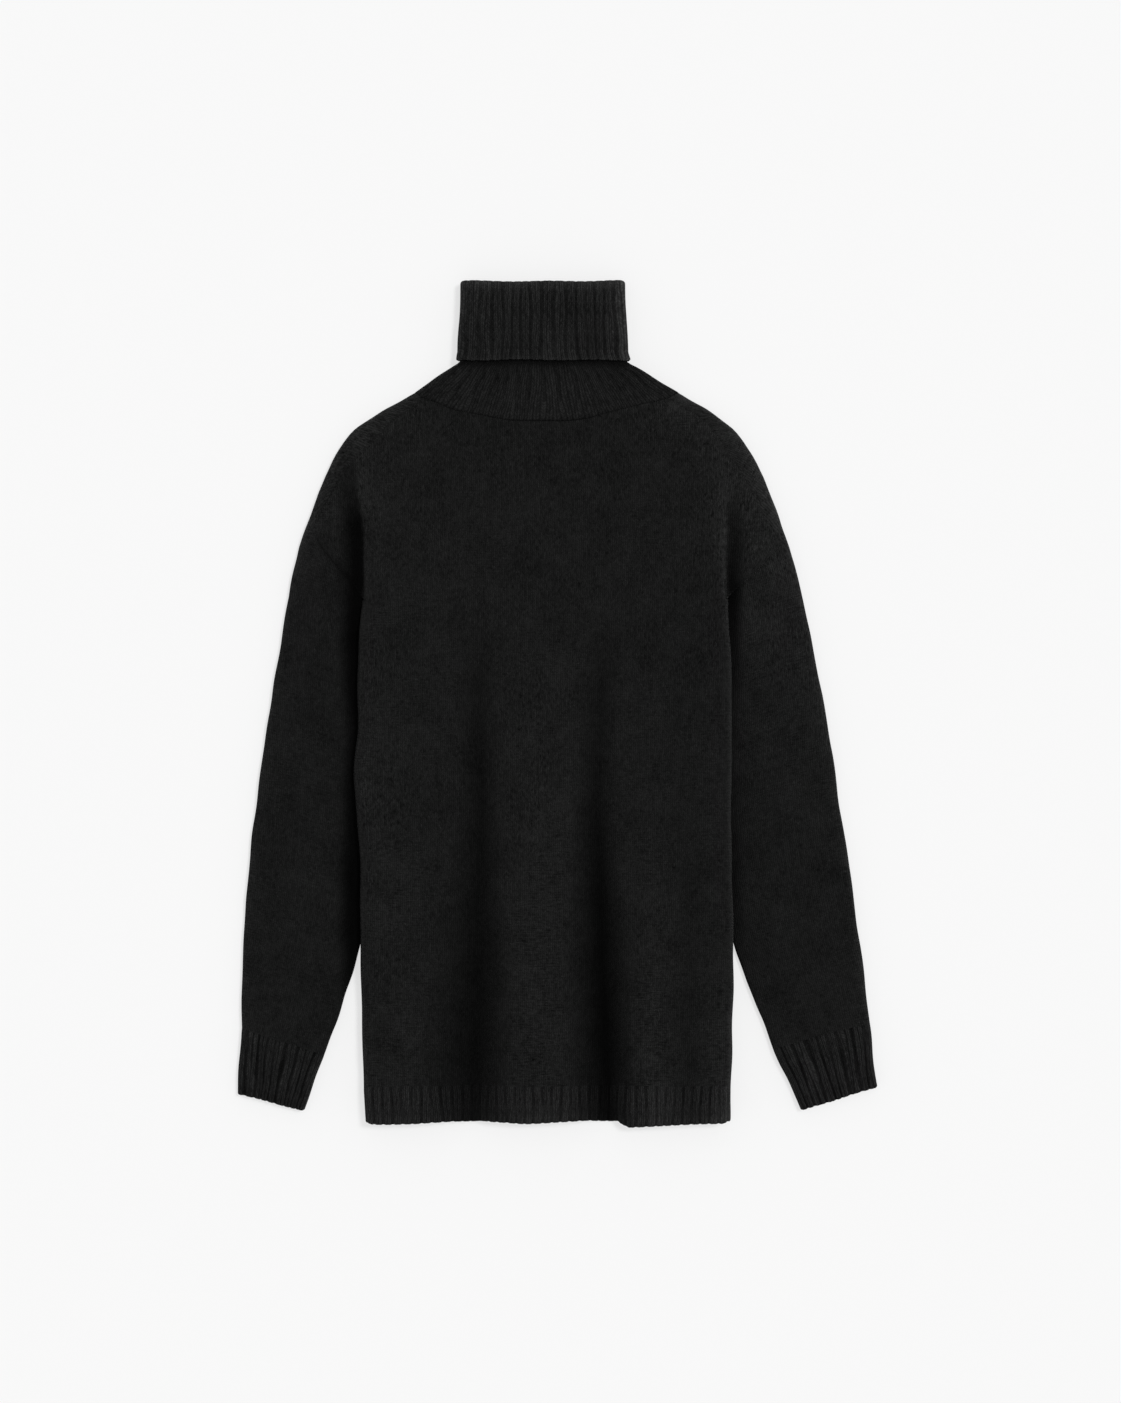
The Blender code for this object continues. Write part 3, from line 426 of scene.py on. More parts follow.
def sleeve_edges(side, t):
    """Plan points of a sleeve's outer and inner edge, t from armhole to cuff seam."""
    found = curve(SLEEVES[side], t)
    found[:, [0, 2]] *= SIDES[side]
    return found[:, :2], found[:, 2:]


def shoulder_edges(side, t):
    """Plan points of the shoulder's outline and of its seam, t from armhole to neck."""
    armhole = np.array(SLEEVES[side][0])
    outer, inner = armhole[:2], armhole[2:]
    seam = outer + unit(inner - outer) * STRIP_AT_ARMHOLE
    found = curve([(*outer, *seam)] + SHOULDERS[side], t)
    found[:, [0, 2]] *= SIDES[side]
    return found[:, :2], found[:, 2:]


def outline_lines():
    """The outer edge of sleeve and shoulder, one line for each side."""
    lines = []
    for side in SIDES:
        sleeve, _ = sleeve_edges(side, np.linspace(1.0, 0.0, OUTLINE_STEPS))
        shoulder, _ = shoulder_edges(side, even(OUTLINE_STEPS))
        lines.append(np.concatenate([sleeve, shoulder[1:]]))
    return lines


def armhole_lines():
    """The seam of each armhole, from the outline to the underarm."""
    return [np.concatenate(sleeve_edges(side, np.zeros(1))) for side in SIDES]


def gap_to(plan, lines):
    """How far each plan point is from the nearest of some lines."""
    nearest = np.full(plan.shape[:-1], np.inf)
    for line in lines:
        for a, b in zip(line[:-1], line[1:]):
            run = b - a
            share = np.clip(((plan - a) @ run) / (run @ run), 0.0, 1.0)
            gap = np.linalg.norm(plan - (a + share[..., None] * run), axis=-1)
            nearest = np.minimum(nearest, gap)
    return nearest


# ---------------------------------------------------------------- heights
def fold_trough(fold, y):
    """Where the trough of a long fold lies across the front."""
    half = mix(fold.y_full, fold.y_end, 0.5)
    return np.interp(y, (0.0, half, fold.y_end), (fold.x_hem, fold.x_half, fold.x_end))


def fold_depth(x, y):
    """How far the long folds lower the front."""
    depth = np.zeros(np.broadcast(x, y).shape)
    for fold in FOLDS:
        trough = fold_trough(fold, y)
        flank = np.where(x < trough, fold.flank_right, fold.flank_left)
        across = np.clip(np.abs(x - trough) / flank, 0.0, 1.0)
        fade = between(y, fold.y_end, fold.y_full)
        depth = depth + fold.depth * fade * 0.5 * (1.0 + np.cos(math.pi * across))
    return depth


def body_height(x, y):
    """The front of the body, away from its rounded sides."""
    return along(CRESTS, "y", "height", y) - fold_depth(x, y)


def off_side(x, y):
    """How far a point lies outside the line of the body's side."""
    reach = np.where(x < 0.0, side_x("right", y), side_x("left", y))
    return np.abs(x) - reach


def arm_height(low, out):
    """The sleeve, from its crease or inner edge at height low up to its crest."""
    return mix(low, SLEEVE_CREST, smooth((out - CREASE_FLOOR) / CREASE_ARM_FLANK))


def near_edge(height, plan):
    """Lets the height come down to that of a folded edge at the outline."""
    return mix(EDGE_HEIGHT, height, smooth(gap_to(plan, OUTLINE) / EDGE_BLEND))


def chest_height(plan):
    """The garment above the underarms: chest, shoulders and the crease beside the arm."""
    x, y = plan[..., 0], plan[..., 1]
    out = off_side(x, y)
    body = body_height(x, y)
    open_part = mix(body, SLEEVE_CREST, smooth((out + CREASE_BODY_FLANK) / ARM_BLEND))
    bank = smooth((CREASE_FLOOR - out) / (CREASE_FLOOR + CREASE_BODY_FLANK))
    creased = mix(arm_height(TUCKED_HEIGHT, out), body, bank)
    deep = 1.0 - between(y, CREASE_DEEP_BELOW, CREASE_ENDS)
    return near_edge(mix(open_part, creased, deep), plan)


def back_height(x, y):
    """The underside of the back, lifted only where it lies on a sleeve."""
    inside = -off_side(x, y)
    lift = along(BODY_SIDES, "y", "back_lift", y)
    return lift * (1.0 - between(inside, LIFT_FULL, LIFT_END))


# ---------------------------------------------------------------- sleeves and cuffs
def roll(edge, inward, height, reach, angles):
    """Points round a folded edge: angles run from -90 degrees below to +90 above."""
    plan = edge + inward * (reach * (1.0 - np.cos(angles)))[:, None]
    return with_height(plan, 0.5 * height * (1.0 + np.sin(angles)))


def sleeve_ring(outer, inner, inner_edge_height, height_at):
    """One ring: inner edge, over the top to the outer edge, and back underneath."""
    inward = unit(inner - outer)
    width = np.linalg.norm(inner - outer)
    reach = 0.5 * inner_edge_height
    middle = np.zeros(1)
    inner_up = roll(inner, -inward, inner_edge_height, reach, np.append(middle, EDGE_ANGLES))
    inner_down = roll(inner, -inward, inner_edge_height, reach, -EDGE_ANGLES[::-1])
    outer_angles = np.concatenate([EDGE_ANGLES[::-1], middle, -EDGE_ANGLES])
    outer_edge = roll(outer, inward, EDGE_HEIGHT, EDGE_ROLL, outer_angles)
    top_at = np.linspace(reach, width - STRIP_AT_ARMHOLE, ARMHOLE_STEPS + 2)[1:]
    top_plan = inner - inward * top_at[:, None]
    top = with_height(top_plan, height_at(top_plan))
    under_at = np.linspace(width - EDGE_ROLL, reach, ARMHOLE_STEPS + 2)[1:-1]
    under_plan = inner - inward * under_at[:, None]
    under = with_height(under_plan, np.zeros(len(under_plan)))
    return np.concatenate([inner_up, top, outer_edge, under, inner_down])


def inner_height(y):
    """Height of a sleeve's inner edge: it rises once it is clear of the body."""
    return mix(EDGE_HEIGHT, TUCKED_HEIGHT, between(y, SLEEVE_FREE_BELOW, SLEEVE_TUCKED_ABOVE))


def sleeve_height(plan):
    """The upper side of a sleeve, lowest along the body or along its own inner edge."""
    side = "left" if plan[0, 0] > 0.0 else "right"
    y = plan[:, 1]
    inner_x = along(SLEEVES[side][::-1], "inner_y", "inner_x", y)
    out = np.abs(plan[:, 0]) - np.maximum(side_x(side, y), inner_x)
    return near_edge(arm_height(inner_height(y), out), plan)


def cuff_height(plan):
    return np.full(len(plan), CUFF_HEIGHT)


def armhole_ring(side):
    outer, inner = sleeve_edges(side, np.zeros(1))
    return sleeve_ring(outer[0], inner[0], TUCKED_HEIGHT, chest_height)


def sleeve_grid(side):
    outers, inners = sleeve_edges(side, even(SLEEVE_RINGS))
    rings = [armhole_ring(side)]
    for outer, inner in zip(outers[1:], inners[1:]):
        rings.append(sleeve_ring(outer, inner, inner_height(inner[1]), sleeve_height))
    return np.array(rings)


def cuff_grid(side, seam):
    """The cuff goes on from the sleeve's last ring, its seam, to its free edge."""
    edge = np.array(CUFF_EDGES[side])
    edge[[0, 2]] *= SIDES[side]
    end = sleeve_ring(edge[:2], edge[2:], CUFF_HEIGHT, cuff_height)
    return np.array([mix(seam, end, share) for share in even(CUFF_ROWS)])


# ---------------------------------------------------------------- body
def column_shares(roll_reach):
    """Where the body's columns stand, from 0 at one side to 1 at the other."""
    width = float(side_x("right", HEM_RIB_TOP) + side_x("left", HEM_RIB_TOP))
    rounded = roll_reach * (1.0 - np.cos(ROLL_ANGLES)) / width
    inner = np.linspace(rounded[-1], 1.0 - rounded[-1], BODY_COLUMNS - 2 * len(rounded) + 2)
    return np.concatenate([rounded, inner[1:-1], 1.0 - rounded[::-1]])


def roll_rise():
    """How far up its rounded side each column stands, from 0 at the seam to 1 on top."""
    rise = np.ones(BODY_COLUMNS)
    rise[:len(ROLL_ANGLES)] = np.sin(ROLL_ANGLES)
    rise[-len(ROLL_ANGLES):] = np.sin(ROLL_ANGLES)[::-1]
    return rise


def shoulder_shares():
    """Where the columns meet a shoulder's seam, from 0 at the armhole to 1 at the neck."""
    shares = column_shares(SIDE_ROLL)[:SHOULDER_COLUMNS + 1]
    return shares / shares[-1]


def armhole_path(side, under):
    """The part of the armhole ring that a body panel is sewn to, from the underarm up."""
    ring = armhole_ring(side)
    steps = len(EDGE_ANGLES) + ARMHOLE_STEPS + 1
    if under:
        return ring[::-1][:steps]
    return ring[1:1 + steps]


def top_line(under):
    """Upper boundary of a panel: shoulder, neck and shoulder, a point for each column."""
    ends = {}
    for side in SIDES:
        edge, seam = shoulder_edges(side, shoulder_shares())
        ends[side] = edge + unit(seam - edge) * EDGE_ROLL if under else seam
    count = BODY_COLUMNS - 2 * SHOULDER_COLUMNS
    if under:
        t = even(count)
        neck = mix(ends["right"][-1], ends["left"][-1], t[:, None])
        neck[:, 1] -= BACK_NECK_DIP * 4.0 * t * (1.0 - t)
    else:
        neck = curve(FRONT_NECK, even(count))
        neck[0], neck[-1] = ends["right"][-1], ends["left"][-1]
    return np.concatenate([ends["right"][:-1], neck, ends["left"][::-1][1:]])


def side_path(side, under):
    """Plan and height of a panel's side boundary, from the hem band to the shoulder."""
    y = np.linspace(HEM_RIB_TOP, UNDERARM, BODY_ROWS + 1)
    x = SIDES[side] * side_x(side, y)
    seam = np.stack([x, y, along(BODY_SIDES, "y", "seam_height", y)], axis=-1)
    return np.concatenate([seam, armhole_path(side, under)])


def without_overlap(path):
    """How far out a panel's boundary is, without the step where it meets the armhole."""
    x, y = path[:, 0].copy(), path[:, 1]
    below = slice(BODY_ROWS + 1)
    step = x[BODY_ROWS] - x[BODY_ROWS + 1]
    x[below] -= step * between(y[below], OVERLAP_FROM, UNDERARM)
    return x


def body_grid(under, roll_reach):
    """Front or back panel: its side seams, armholes, shoulder seams and neck are its edge."""
    shares = column_shares(roll_reach)
    rise = roll_rise()
    right, left = side_path("right", under), side_path("left", under)
    top = top_line(under)
    bend = top - mix(top[0], top[-1], shares[:, None])
    from_side = smooth((np.minimum(shares, 1.0 - shares) - SIDE_BAND) / SIDE_BLEND)
    further_in = smooth(np.minimum(shares, 1.0 - shares) / SIDE_BAND)
    right_x, left_x = without_overlap(right), without_overlap(left)
    rows = []
    middle_y = 0.5 * (right[:, 1] + left[:, 1])
    up_armhole = np.maximum(0.0, (middle_y - UNDERARM) / (middle_y[-1] - UNDERARM))
    for row, above in enumerate(up_armhole):
        ends = mix(right[row], left[row], shares[:, None])
        ends[:, 0] = mix(ends[:, 0], mix(right_x[row], left_x[row], shares), further_in)
        end_climb = (np.array([right[row, 1], left[row, 1]]) - HEM_RIB_TOP) / (
            top[[0, -1], 1] - HEM_RIB_TOP)
        climb = mix(above, mix(end_climb[0], end_climb[1], shares), from_side)
        plan = ends[:, :2] + np.stack([above * bend[:, 0], climb * bend[:, 1]], axis=-1)
        x, y = plan[:, 0], plan[:, 1]
        seam = np.where(shares < 0.5, right[row, 2], left[row, 2])
        body = back_height(x, y) if under else body_height(x, y)
        rounded = mix(seam, body, rise)
        if under:
            level = body * (1.0 - smooth(above / BACK_SETTLES))
        else:
            level = chest_height(plan)
        level_share = np.where(y < UNDERARM, 0.0, smooth(above / ROLL_FADES))
        points = with_height(plan, mix(rounded, level, level_share))
        points[0], points[-1] = right[row], left[row]
        rows.append(points)
    return np.array(rows)


def shoulder_flap(side):
    """The back's strip over one shoulder, from its flat underside up to the seam."""
    edges, seams = shoulder_edges(side, shoulder_shares())
    angles = np.concatenate([-EDGE_ANGLES[::-1], np.zeros(1), EDGE_ANGLES])
    columns = []
    for edge, seam in zip(edges, seams):
        rounded = roll(edge, unit(seam - edge), EDGE_HEIGHT, EDGE_ROLL, angles)
        top = with_height(seam[None], chest_height(seam[None]))
        strip = [mix(rounded[-1:], top, share) for share in STRIP_SHARES]
        columns.append(np.concatenate([rounded] + strip))
    flap = np.stack(columns, axis=1)
    return flap if side == "right" else flap[:, ::-1]


def back_columns():
    """The columns of the front that the back uses too."""
    first, last = SHOULDER_COLUMNS, BODY_COLUMNS - 1 - SHOULDER_COLUMNS
    middle = list(range(first, last, BACK_SKIP))
    return list(range(first)) + middle + list(range(last, BODY_COLUMNS))


def hem_grid(under, roll_reach):
    """The ribbed band below the body, from its seam down to its free edge."""
    shares = column_shares(roll_reach)
    rise = roll_rise()
    rows = []
    for part in even(HEM_ROWS):
        x = mix(-side_x("right", HEM_RIB_TOP), side_x("left", HEM_RIB_TOP), shares)
        edge = mix(HEM_EDGE[0].y, BACK_HEM_EDGE, rise) if under else along(HEM_EDGE, "x", "y", x)
        y = mix(HEM_RIB_TOP, edge, part)
        x = mix(-side_x("right", y), side_x("left", y), shares)
        seam = along(BODY_SIDES, "y", "seam_height", y)
        flat = back_height(x, y) if under else body_height(x, y)
        rows.append(np.stack([x, y, mix(seam, flat, rise)], axis=-1))
    return np.array(rows[::-1])


# ---------------------------------------------------------------- collar
def oval_half(half_width, half_height, share, upper):
    """A flattened ring's upper or lower half, share from its right end to its left one."""
    quarter = 0.5 * math.pi * half_height
    flat = 2.0 * (half_width - half_height)
    place = np.asarray(share) * (2.0 * quarter + flat)
    first = np.clip(place / quarter, 0.0, 1.0) * 0.5 * math.pi
    last = np.clip((place - quarter - flat) / quarter, 0.0, 1.0) * 0.5 * math.pi
    middle = np.clip(place - quarter, 0.0, flat)
    x = -half_width + half_height * (1.0 - np.cos(first)) + middle + half_height * np.sin(last)
    z = half_height * (np.sin(first) - 1.0 + np.cos(last))
    return x, z if upper else -z


def neck_seam_halves(front, back, flaps):
    """The collar's seam as two lines from the right shoulder to the left one."""
    front_neck, back_neck = front[-1, NECK_COLUMNS], back[-1, NECK_COLUMNS]
    right, left = flaps["right"][:, -1], flaps["left"][:, 0]
    middle = len(EDGE_ANGLES)
    upper = np.concatenate([right[middle:-1], front_neck, left[middle:-1][::-1]])
    lower = np.concatenate([right[1:middle + 1][::-1], back_neck, left[1:middle + 1]])
    return upper, lower


def line_shares(points):
    steps = lengths(points)
    return run_up(steps) / steps.sum()


def collar_rings():
    """Every ring above the seam, from the neck over its crease to the free edge, and how
    many of them belong to the neck."""
    last = NECK_RINGS[-1]
    crease_y = COLLAR_TOP - RIB_WALL - CREASE_RADIUS
    crease = []
    for angle in np.linspace(0.0, math.pi, CREASE_STEPS):
        out = CREASE_RADIUS * (1.0 - math.cos(angle))
        y = crease_y + CREASE_RADIUS * math.sin(angle)
        width = NECK_TOP_HALF_WIDTH + out
        crease.append(last._replace(y=y, half_width=width, low=last.low - out, high=last.high + out))
    neck = spaced(NECK_RINGS + crease[:1])
    return neck[:-1] + crease + spaced(crease[-1:] + TURN_RINGS)[1:], len(neck) - 1


def spaced(rings):
    """The rings with others between them, at most RING_STEP apart."""
    found = [rings[0]]
    for a, b in zip(rings[:-1], rings[1:]):
        steps = max(1, math.ceil(abs(a.y - b.y) / RING_STEP))
        for step in range(1, steps + 1):
            found.append(a._make(mix(np.array(a), np.array(b), step / steps)))
    return found


def ring_half(ring, shares, upper):
    half_width = ring.half_width - COLLAR_EASE
    x, z = oval_half(half_width, 0.5 * (ring.high - ring.low), shares, upper)
    y = np.full(len(x), ring.y)
    shift = mix(NECK_SHIFT, COLLAR_SHIFT, smooth((ring.y - NECK_RINGS[0].y) / SHIFT_REACH))
    return np.stack([x + shift, y, z + 0.5 * (ring.high + ring.low)], axis=-1)


def collar_grid(upper, lower):
    """The collar as one long tube from its seam's two halves, turned over at its top, and
    how many of its rings stand on the neck."""
    rings, neck_count = collar_rings()
    halves = []
    for ring in rings:
        high = ring_half(ring, line_shares(upper), True)
        low = ring_half(ring, line_shares(lower), False)
        halves.append((high, low))
    first_high, first_low = halves[0]
    stand = []
    for part in even(STAND_STEPS + 1)[:-1]:
        stand.append((mix(upper, first_high, part), mix(lower, first_low, part)))
    grid = np.array([np.concatenate([high, low[::-1][1:-1]]) for high, low in stand + halves])
    return grid, len(stand) + neck_count


# ---------------------------------------------------------------- edges of a grid
def edge_profile(distance, amount):
    """How far a face closes at a distance from its rounded edge."""
    t = 1.0 - np.clip(distance / RIM_ROUND, 0.0, 1.0)
    return amount * (1.0 - np.sqrt(np.maximum(0.0, 1.0 - t * t)))


def rows_beside(edge, inside):
    """Rows next to an edge, on the way to the first row inside it."""
    gap = np.linalg.norm(inside - edge, axis=-1).mean()
    shares = [place * RIM_ROUND / gap for place in RIM_ROWS]
    return [mix(edge, inside, share) for share in shares if share < RIM_ROOM]


def with_edge_rows(grid, first=True, last=True):
    """Adds rows close to the first or last one, so that the edge can round off."""
    rows = list(grid)
    if first:
        rows[1:1] = rows_beside(rows[0], rows[1])
    if last:
        rows[-1:-1] = rows_beside(rows[-1], rows[-2])[::-1]
    return np.array(rows)


def row_distances(grid):
    """How far each row is from the first and from the last one, on average."""
    run = run_up(lengths(grid).mean(axis=1))
    return run, run[-1] - run


# ---------------------------------------------------------------- shells
Patch = namedtuple("Patch", "points closed flip knit closing")


def grid_normals(points, closed, flip):
    """Outward normals of a grid of points."""
    if closed:
        across = np.roll(points, -1, axis=1) - np.roll(points, 1, axis=1)
    else:
        across = np.gradient(points, axis=1)
    normals = unit(np.cross(across, np.gradient(points, axis=0)))
    return -normals if flip else normals


def grid_quads(rows, columns, closed, flip):
    index = np.arange(rows * columns).reshape(rows, columns)
    right = np.roll(index, -1, axis=1)
    corners = [index[:-1], right[:-1], right[1:], index[1:]]
    if not closed:
        corners = [corner[:, :-1] for corner in corners]
    quads = np.stack(corners, axis=-1).reshape(-1, 4)
    return quads[:, ::-1] if flip else quads


def welded(parts):
    """Joins grids that share points: (outer, inner, knit, quads) of the whole sheet."""
    outer, inner, knit, quads, known = [], [], [], [], {}
    for patch, outside, inside in parts:
        rows, columns = patch.points.shape[:2]
        keys = [tuple(key) for key in np.round(patch.points.reshape(-1, 3), SAME_DIGITS)]
        fields = zip(keys, outside.reshape(-1, 3), inside.reshape(-1, 3), patch.knit.reshape(-1, 4))
        names = []
        for key, out, back, where in fields:
            if key not in known:
                known[key] = len(outer)
                outer.append(out)
                inner.append(back)
                knit.append(where)
            names.append(known[key])
        local = grid_quads(rows, columns, patch.closed, patch.flip)
        quads.append(np.array(names)[local])
    return np.array(outer), np.array(inner), np.array(knit), np.concatenate(quads)


def rim_edges(quads):
    """Edges used by one face alone, in that face's direction."""
    starts = quads.ravel()
    ends = np.roll(quads, -1, axis=1).ravel()
    pairs = set(zip(starts.tolist(), ends.tolist()))
    return sorted((a, b) for a, b in pairs if (b, a) not in pairs)


def waves(x, y, kind):
    """A small uneven field: one wave for each length, each its own way."""
    total = np.zeros(np.shape(x))
    for index, length in enumerate(kind.lengths, 1):
        angle = WAVE_TURN * index + kind.seed
        phase = WAVE_STARTS * index * (kind.seed + 1.0)
        place = x * math.cos(angle) + y * math.sin(angle)
        total = total + np.sin(2.0 * math.pi * place / length + phase)
    return kind.amount * (total / math.sqrt(len(kind.lengths)))


def crease_depth(x, y):
    """How far the shallow creases lower the cloth."""
    depth = np.zeros(np.shape(x))
    for crease in CREASES:
        run_x, run_y = crease.x1 - crease.x0, crease.y1 - crease.y0
        length = math.hypot(run_x, run_y)
        place = ((x - crease.x0) * run_x + (y - crease.y0) * run_y) / (length * length)
        off = ((x - crease.x0) * run_y - (y - crease.y0) * run_x) / length
        off = off + CREASE_SWAY * np.sin(CREASE_TURNS * place + CREASE_STARTS * crease.x0)
        ends = smooth((place + CREASE_FADE) / (2.0 * CREASE_FADE))
        ends = ends * smooth((1.0 + CREASE_FADE - place) / (2.0 * CREASE_FADE))
        depth = depth + crease.depth * ends * bell(off, crease.width)
    return depth


def strayed(x, y):
    """How far the cloth near the body's side has moved along X."""
    moved = np.zeros(np.shape(x))
    for stray in STRAYS:
        side = SIDES[stray.side]
        near = bell(y - stray.y, stray.reach) * bell(x - side * side_x(stray.side, y), STRAY_ACROSS)
        moved = moved - side * stray.inward * near
    return moved


def settled(points):
    """The small unevenness of cloth that lies: every piece moves by its place alone, so the
    pieces stay together. What lies on the surface stays flat."""
    x, y, z = np.moveaxis(points, -1, 0)
    plan = points[..., :2]
    lift = waves(x, y, LIFT_WAVES) + waves(x, y, BROAD_WAVES) - crease_depth(x, y)
    lift = lift - ARMHOLE_DENT * bell(gap_to(plan, ARMHOLES), SEAM_SHADOW)
    right, left = (along(OUTLINE_EASES, "y", side, y) for side in SIDES)
    ease = np.where(x > 0.0, left, -right) * bell(gap_to(plan, OUTLINE), OUTLINE_EASE_REACH)
    moved_x = x + strayed(x, y) + ease + waves(x, y, SHIFT_X_WAVES)
    moved_y = y + waves(x, y, SHIFT_Y_WAVES)
    off_floor = smooth((z - FLAT_BELOW) / FREE_OVER)
    return np.stack([moved_x, moved_y, np.maximum(z + lift * off_floor, 0.0)], axis=-1)


def shell(patches, wall, faces=None):
    """A closed shell between the outer and inner faces of its patches."""
    parts = []
    for index, patch in enumerate(patches):
        if faces is not None:
            outer, inner = faces[index]
        else:
            normals = grid_normals(patch.points, patch.closed, patch.flip)
            outer, inner = patch.points, patch.points - normals * wall
        through = unit(outer - inner)
        closing = patch.closing[..., None]
        parts.append((patch, outer - through * closing, inner + through * closing))
    outer, inner, knit, quads = welded(parts)
    count = len(outer)
    rim = np.array([(b, a, a + count, b + count) for a, b in rim_edges(quads)])
    faces = np.concatenate([quads, quads[:, ::-1] + count, rim])
    points = settled(np.concatenate([outer, inner]))
    return points - ORIGIN, faces, np.concatenate([knit, knit])


# ---------------------------------------------------------------- painted light and shade
# Wool this dark keeps hardly any light in a deep fold, while it catches light where it turns over an
# edge. Both are painted into the yarn's tone, as painted shade and painted highlights, as shares of it.

# How dark the painted shade of each long fold is in its trough, up the front, and how far that reaches
# as a share of its reach at the hem.
FOLD_SHADES = table(
    "y right left narrow_right narrow_left",
    (0.000, 0.68, 0.84, 1.00, 1.00), (0.100, 0.70, 0.88, 1.00, 1.00), (0.185, 0.66, 0.84, 0.90, 0.95),
    (0.250, 0.64, 0.78, 0.65, 0.75), (0.310, 0.60, 0.64, 0.50, 0.65), (0.375, 0.54, 0.50, 0.42, 0.60),
    (0.435, 0.42, 0.40, 0.42, 0.60), (0.476, 0.27, 0.25, 0.46, 0.60), (0.525, 0.00, 0.00, 0.50, 0.60),
)
TROUGH_SQUARE = 0.012       # rounds the dark in the very trough: the square of a share of its reach
TROUGH_DROP = 0.11          # and this keeps it full there
# Painted highlights on the ridges beside the folds, and one more shallow painted shade near the left
# side: how wide to either way, how much paler at the hem and higher up, and at which heights that is and
# ends.
RIDGES = table(
    "x width at_hem higher y_higher y_end",
    (-0.006, 0.030, 0.22, 0.18, 0.400, 0.520), (0.108, 0.015, 0.46, 0.12, 0.250, 0.420),
    (0.146, 0.010, -0.14, -0.12, 0.250, 0.420), (0.174, 0.010, 0.25, 0.10, 0.100, 0.200),
    (-0.150, 0.025, 0.12, 0.10, 0.250, 0.420),
)
# The painted shade of the crease beside the body, up the side: its least light, how far it stays so dark
# outside the body's side, and how far on it clears.
SIDE_SHADE = "y least stays clears"
SIDE_SHADES = {
    "right": table(
        SIDE_SHADE,
        (0.190, 0.12, 0.0085, 0.0190), (0.260, 0.12, 0.0095, 0.0180), (0.330, 0.18, 0.0045, 0.0180),
        (0.374, 0.28, 0.0025, 0.0170), (0.420, 0.18, 0.0035, 0.0170), (0.500, 0.08, 0.0065, 0.0180),
        (0.615, 0.14, 0.0060, 0.0180), (0.640, 0.48, 0.0060, 0.0160), (0.690, 1.00, 0.0060, 0.0160),
    ),
    "left": table(
        SIDE_SHADE,
        (0.190, 0.62, 0.0015, 0.0150), (0.250, 0.50, 0.0015, 0.0150), (0.293, 0.47, 0.0015, 0.0150),
        (0.374, 0.78, 0.0005, 0.0120), (0.415, 0.70, 0.0005, 0.0120), (0.456, 0.50, 0.0010, 0.0120),
        (0.497, 0.34, 0.0040, 0.0120), (0.537, 0.16, 0.0060, 0.0110), (0.578, 0.36, 0.0070, 0.0120),
        (0.619, 0.58, 0.0080, 0.0120), (0.650, 1.00, 0.0080, 0.0120),
    ),
}
SIDE_EDGE = 0.0005          # so far inside the body's side the painted shade is full, and so far outside it the painted highlight begins; further in the shade is gone over this length and the highlight is full after this one
DARK_ENDS = 0.002           # it the nap begins; further in the dark is gone over this length
HIGHLIGHT_STARTS = 0.001          # and the nap is full after this one
# Painted highlights along the body's sides, inside the crease: their gain at the edge, how far in they
# reach, where they are strongest up the side and how far they go on from there.
PaintedHighlight = namedtuple("PaintedHighlight", "side gain across y along")
SIDE_HIGHLIGHTS = [PaintedHighlight(*row) for row in (
    ("right", 0.26, 0.030, 0.45, 0.28), ("right", 0.30, 0.020, 0.635, 0.035),
    ("right", 0.40, 0.007, 0.03, 0.08), ("left", 0.45, 0.012, 0.04, 0.09),
    ("left", 0.12, 0.012, 0.25, 0.40), ("left", 0.42, 0.006, 0.47, 0.13),
    ("left", 0.55, 0.014, 0.605, 0.050),
)]
# And painted highlights along the outline of sleeves and shoulders: at the very edge, and broadly over
# the shoulder.
EdgeHighlight = namedtuple("EdgeHighlight", "edge shoulder across")
EDGE_HIGHLIGHTS = {"right": EdgeHighlight(0.62, 0.62, 0.014), "left": EdgeHighlight(0.90, 0.85, 0.022)}
EDGE_HIGHLIGHT_REACH = 0.0035
SHOULDER_HIGHLIGHT_FROM = 0.53
SHOULDER_HIGHLIGHT_FULL = 0.64
# Painted light on the left upper sleeve, the side of the garment that meets the light.
LIT_SLEEVE = PaintedHighlight("left", 0.33, 0.020, 0.55, 0.13)
# The armhole's seam shows only in the middle, between the outline and the dark crease: how dark it is on
# either side, how wide, and how far from the outline and from the crease it starts and is full. In the
# crease a painted shade makes it the darkest place of all.
SeamShade = namedtuple("SeamShade", "right left reach off_outline off_crease full")
ARMHOLE_SHADE = SeamShade(0.44, 0.18, 0.0010, 0.010, 0.008, 0.010)
UNDERARM_DARK = 0.55
UNDERARM_DARK_REACH = 0.0030
# A painted highlight makes the hem paler towards its free edge.
HEM_HIGHLIGHT = 0.42
HEM_HIGHLIGHT_REACH = 0.010
# How dark the other seams are.
SHOULDER_SEAM_DARK = 0.08
FLAP_SEAM_DARK = 0.12
SLEEVE_SEAM_DARK = 0.06
# That of the neck is darkest in the middle of the chest.
NECK_SEAM_DARK = 0.20
NECK_SEAM_DARKER = 0.40
NECK_SEAM_MIDDLE = 0.060
# The neck is a little darker than the turned-down part, and a painted shadow makes it darkest in the gap
# under its free edge.
NECK_PART = 0.4             # share of the collar's length, from its seam, with the neck's tone
NECK_TONE = 0.82
GAP_DARK = 0.60
GAP_BELOW = 0.0095          # how far below the free edge that dark begins
GAP_FADE = 0.0060           # and over which length it becomes full
# The collar's painted highlights: their gain over the top fold, along the free edge and along either
# side, and how far in that reaches.
CollarHighlight = namedtuple("CollarHighlight", "gain reach")
TOP_HIGHLIGHT = CollarHighlight(2.50, 0.0055)
FREE_EDGE_HIGHLIGHT = CollarHighlight(0.70, 0.0030)
COLLAR_HIGHLIGHTS = {"right": CollarHighlight(0.80, 0.0035), "left": CollarHighlight(1.30, 0.0085)}
COLLAR_HALF_AT_EDGE = 0.0859            # where those sides are, at the free edge and at the top
COLLAR_HALF_AT_TOP = 0.0820


def on_side(x, side):
    """True on one side of the garment alone."""
    return np.sign(x) == SIDES[side]


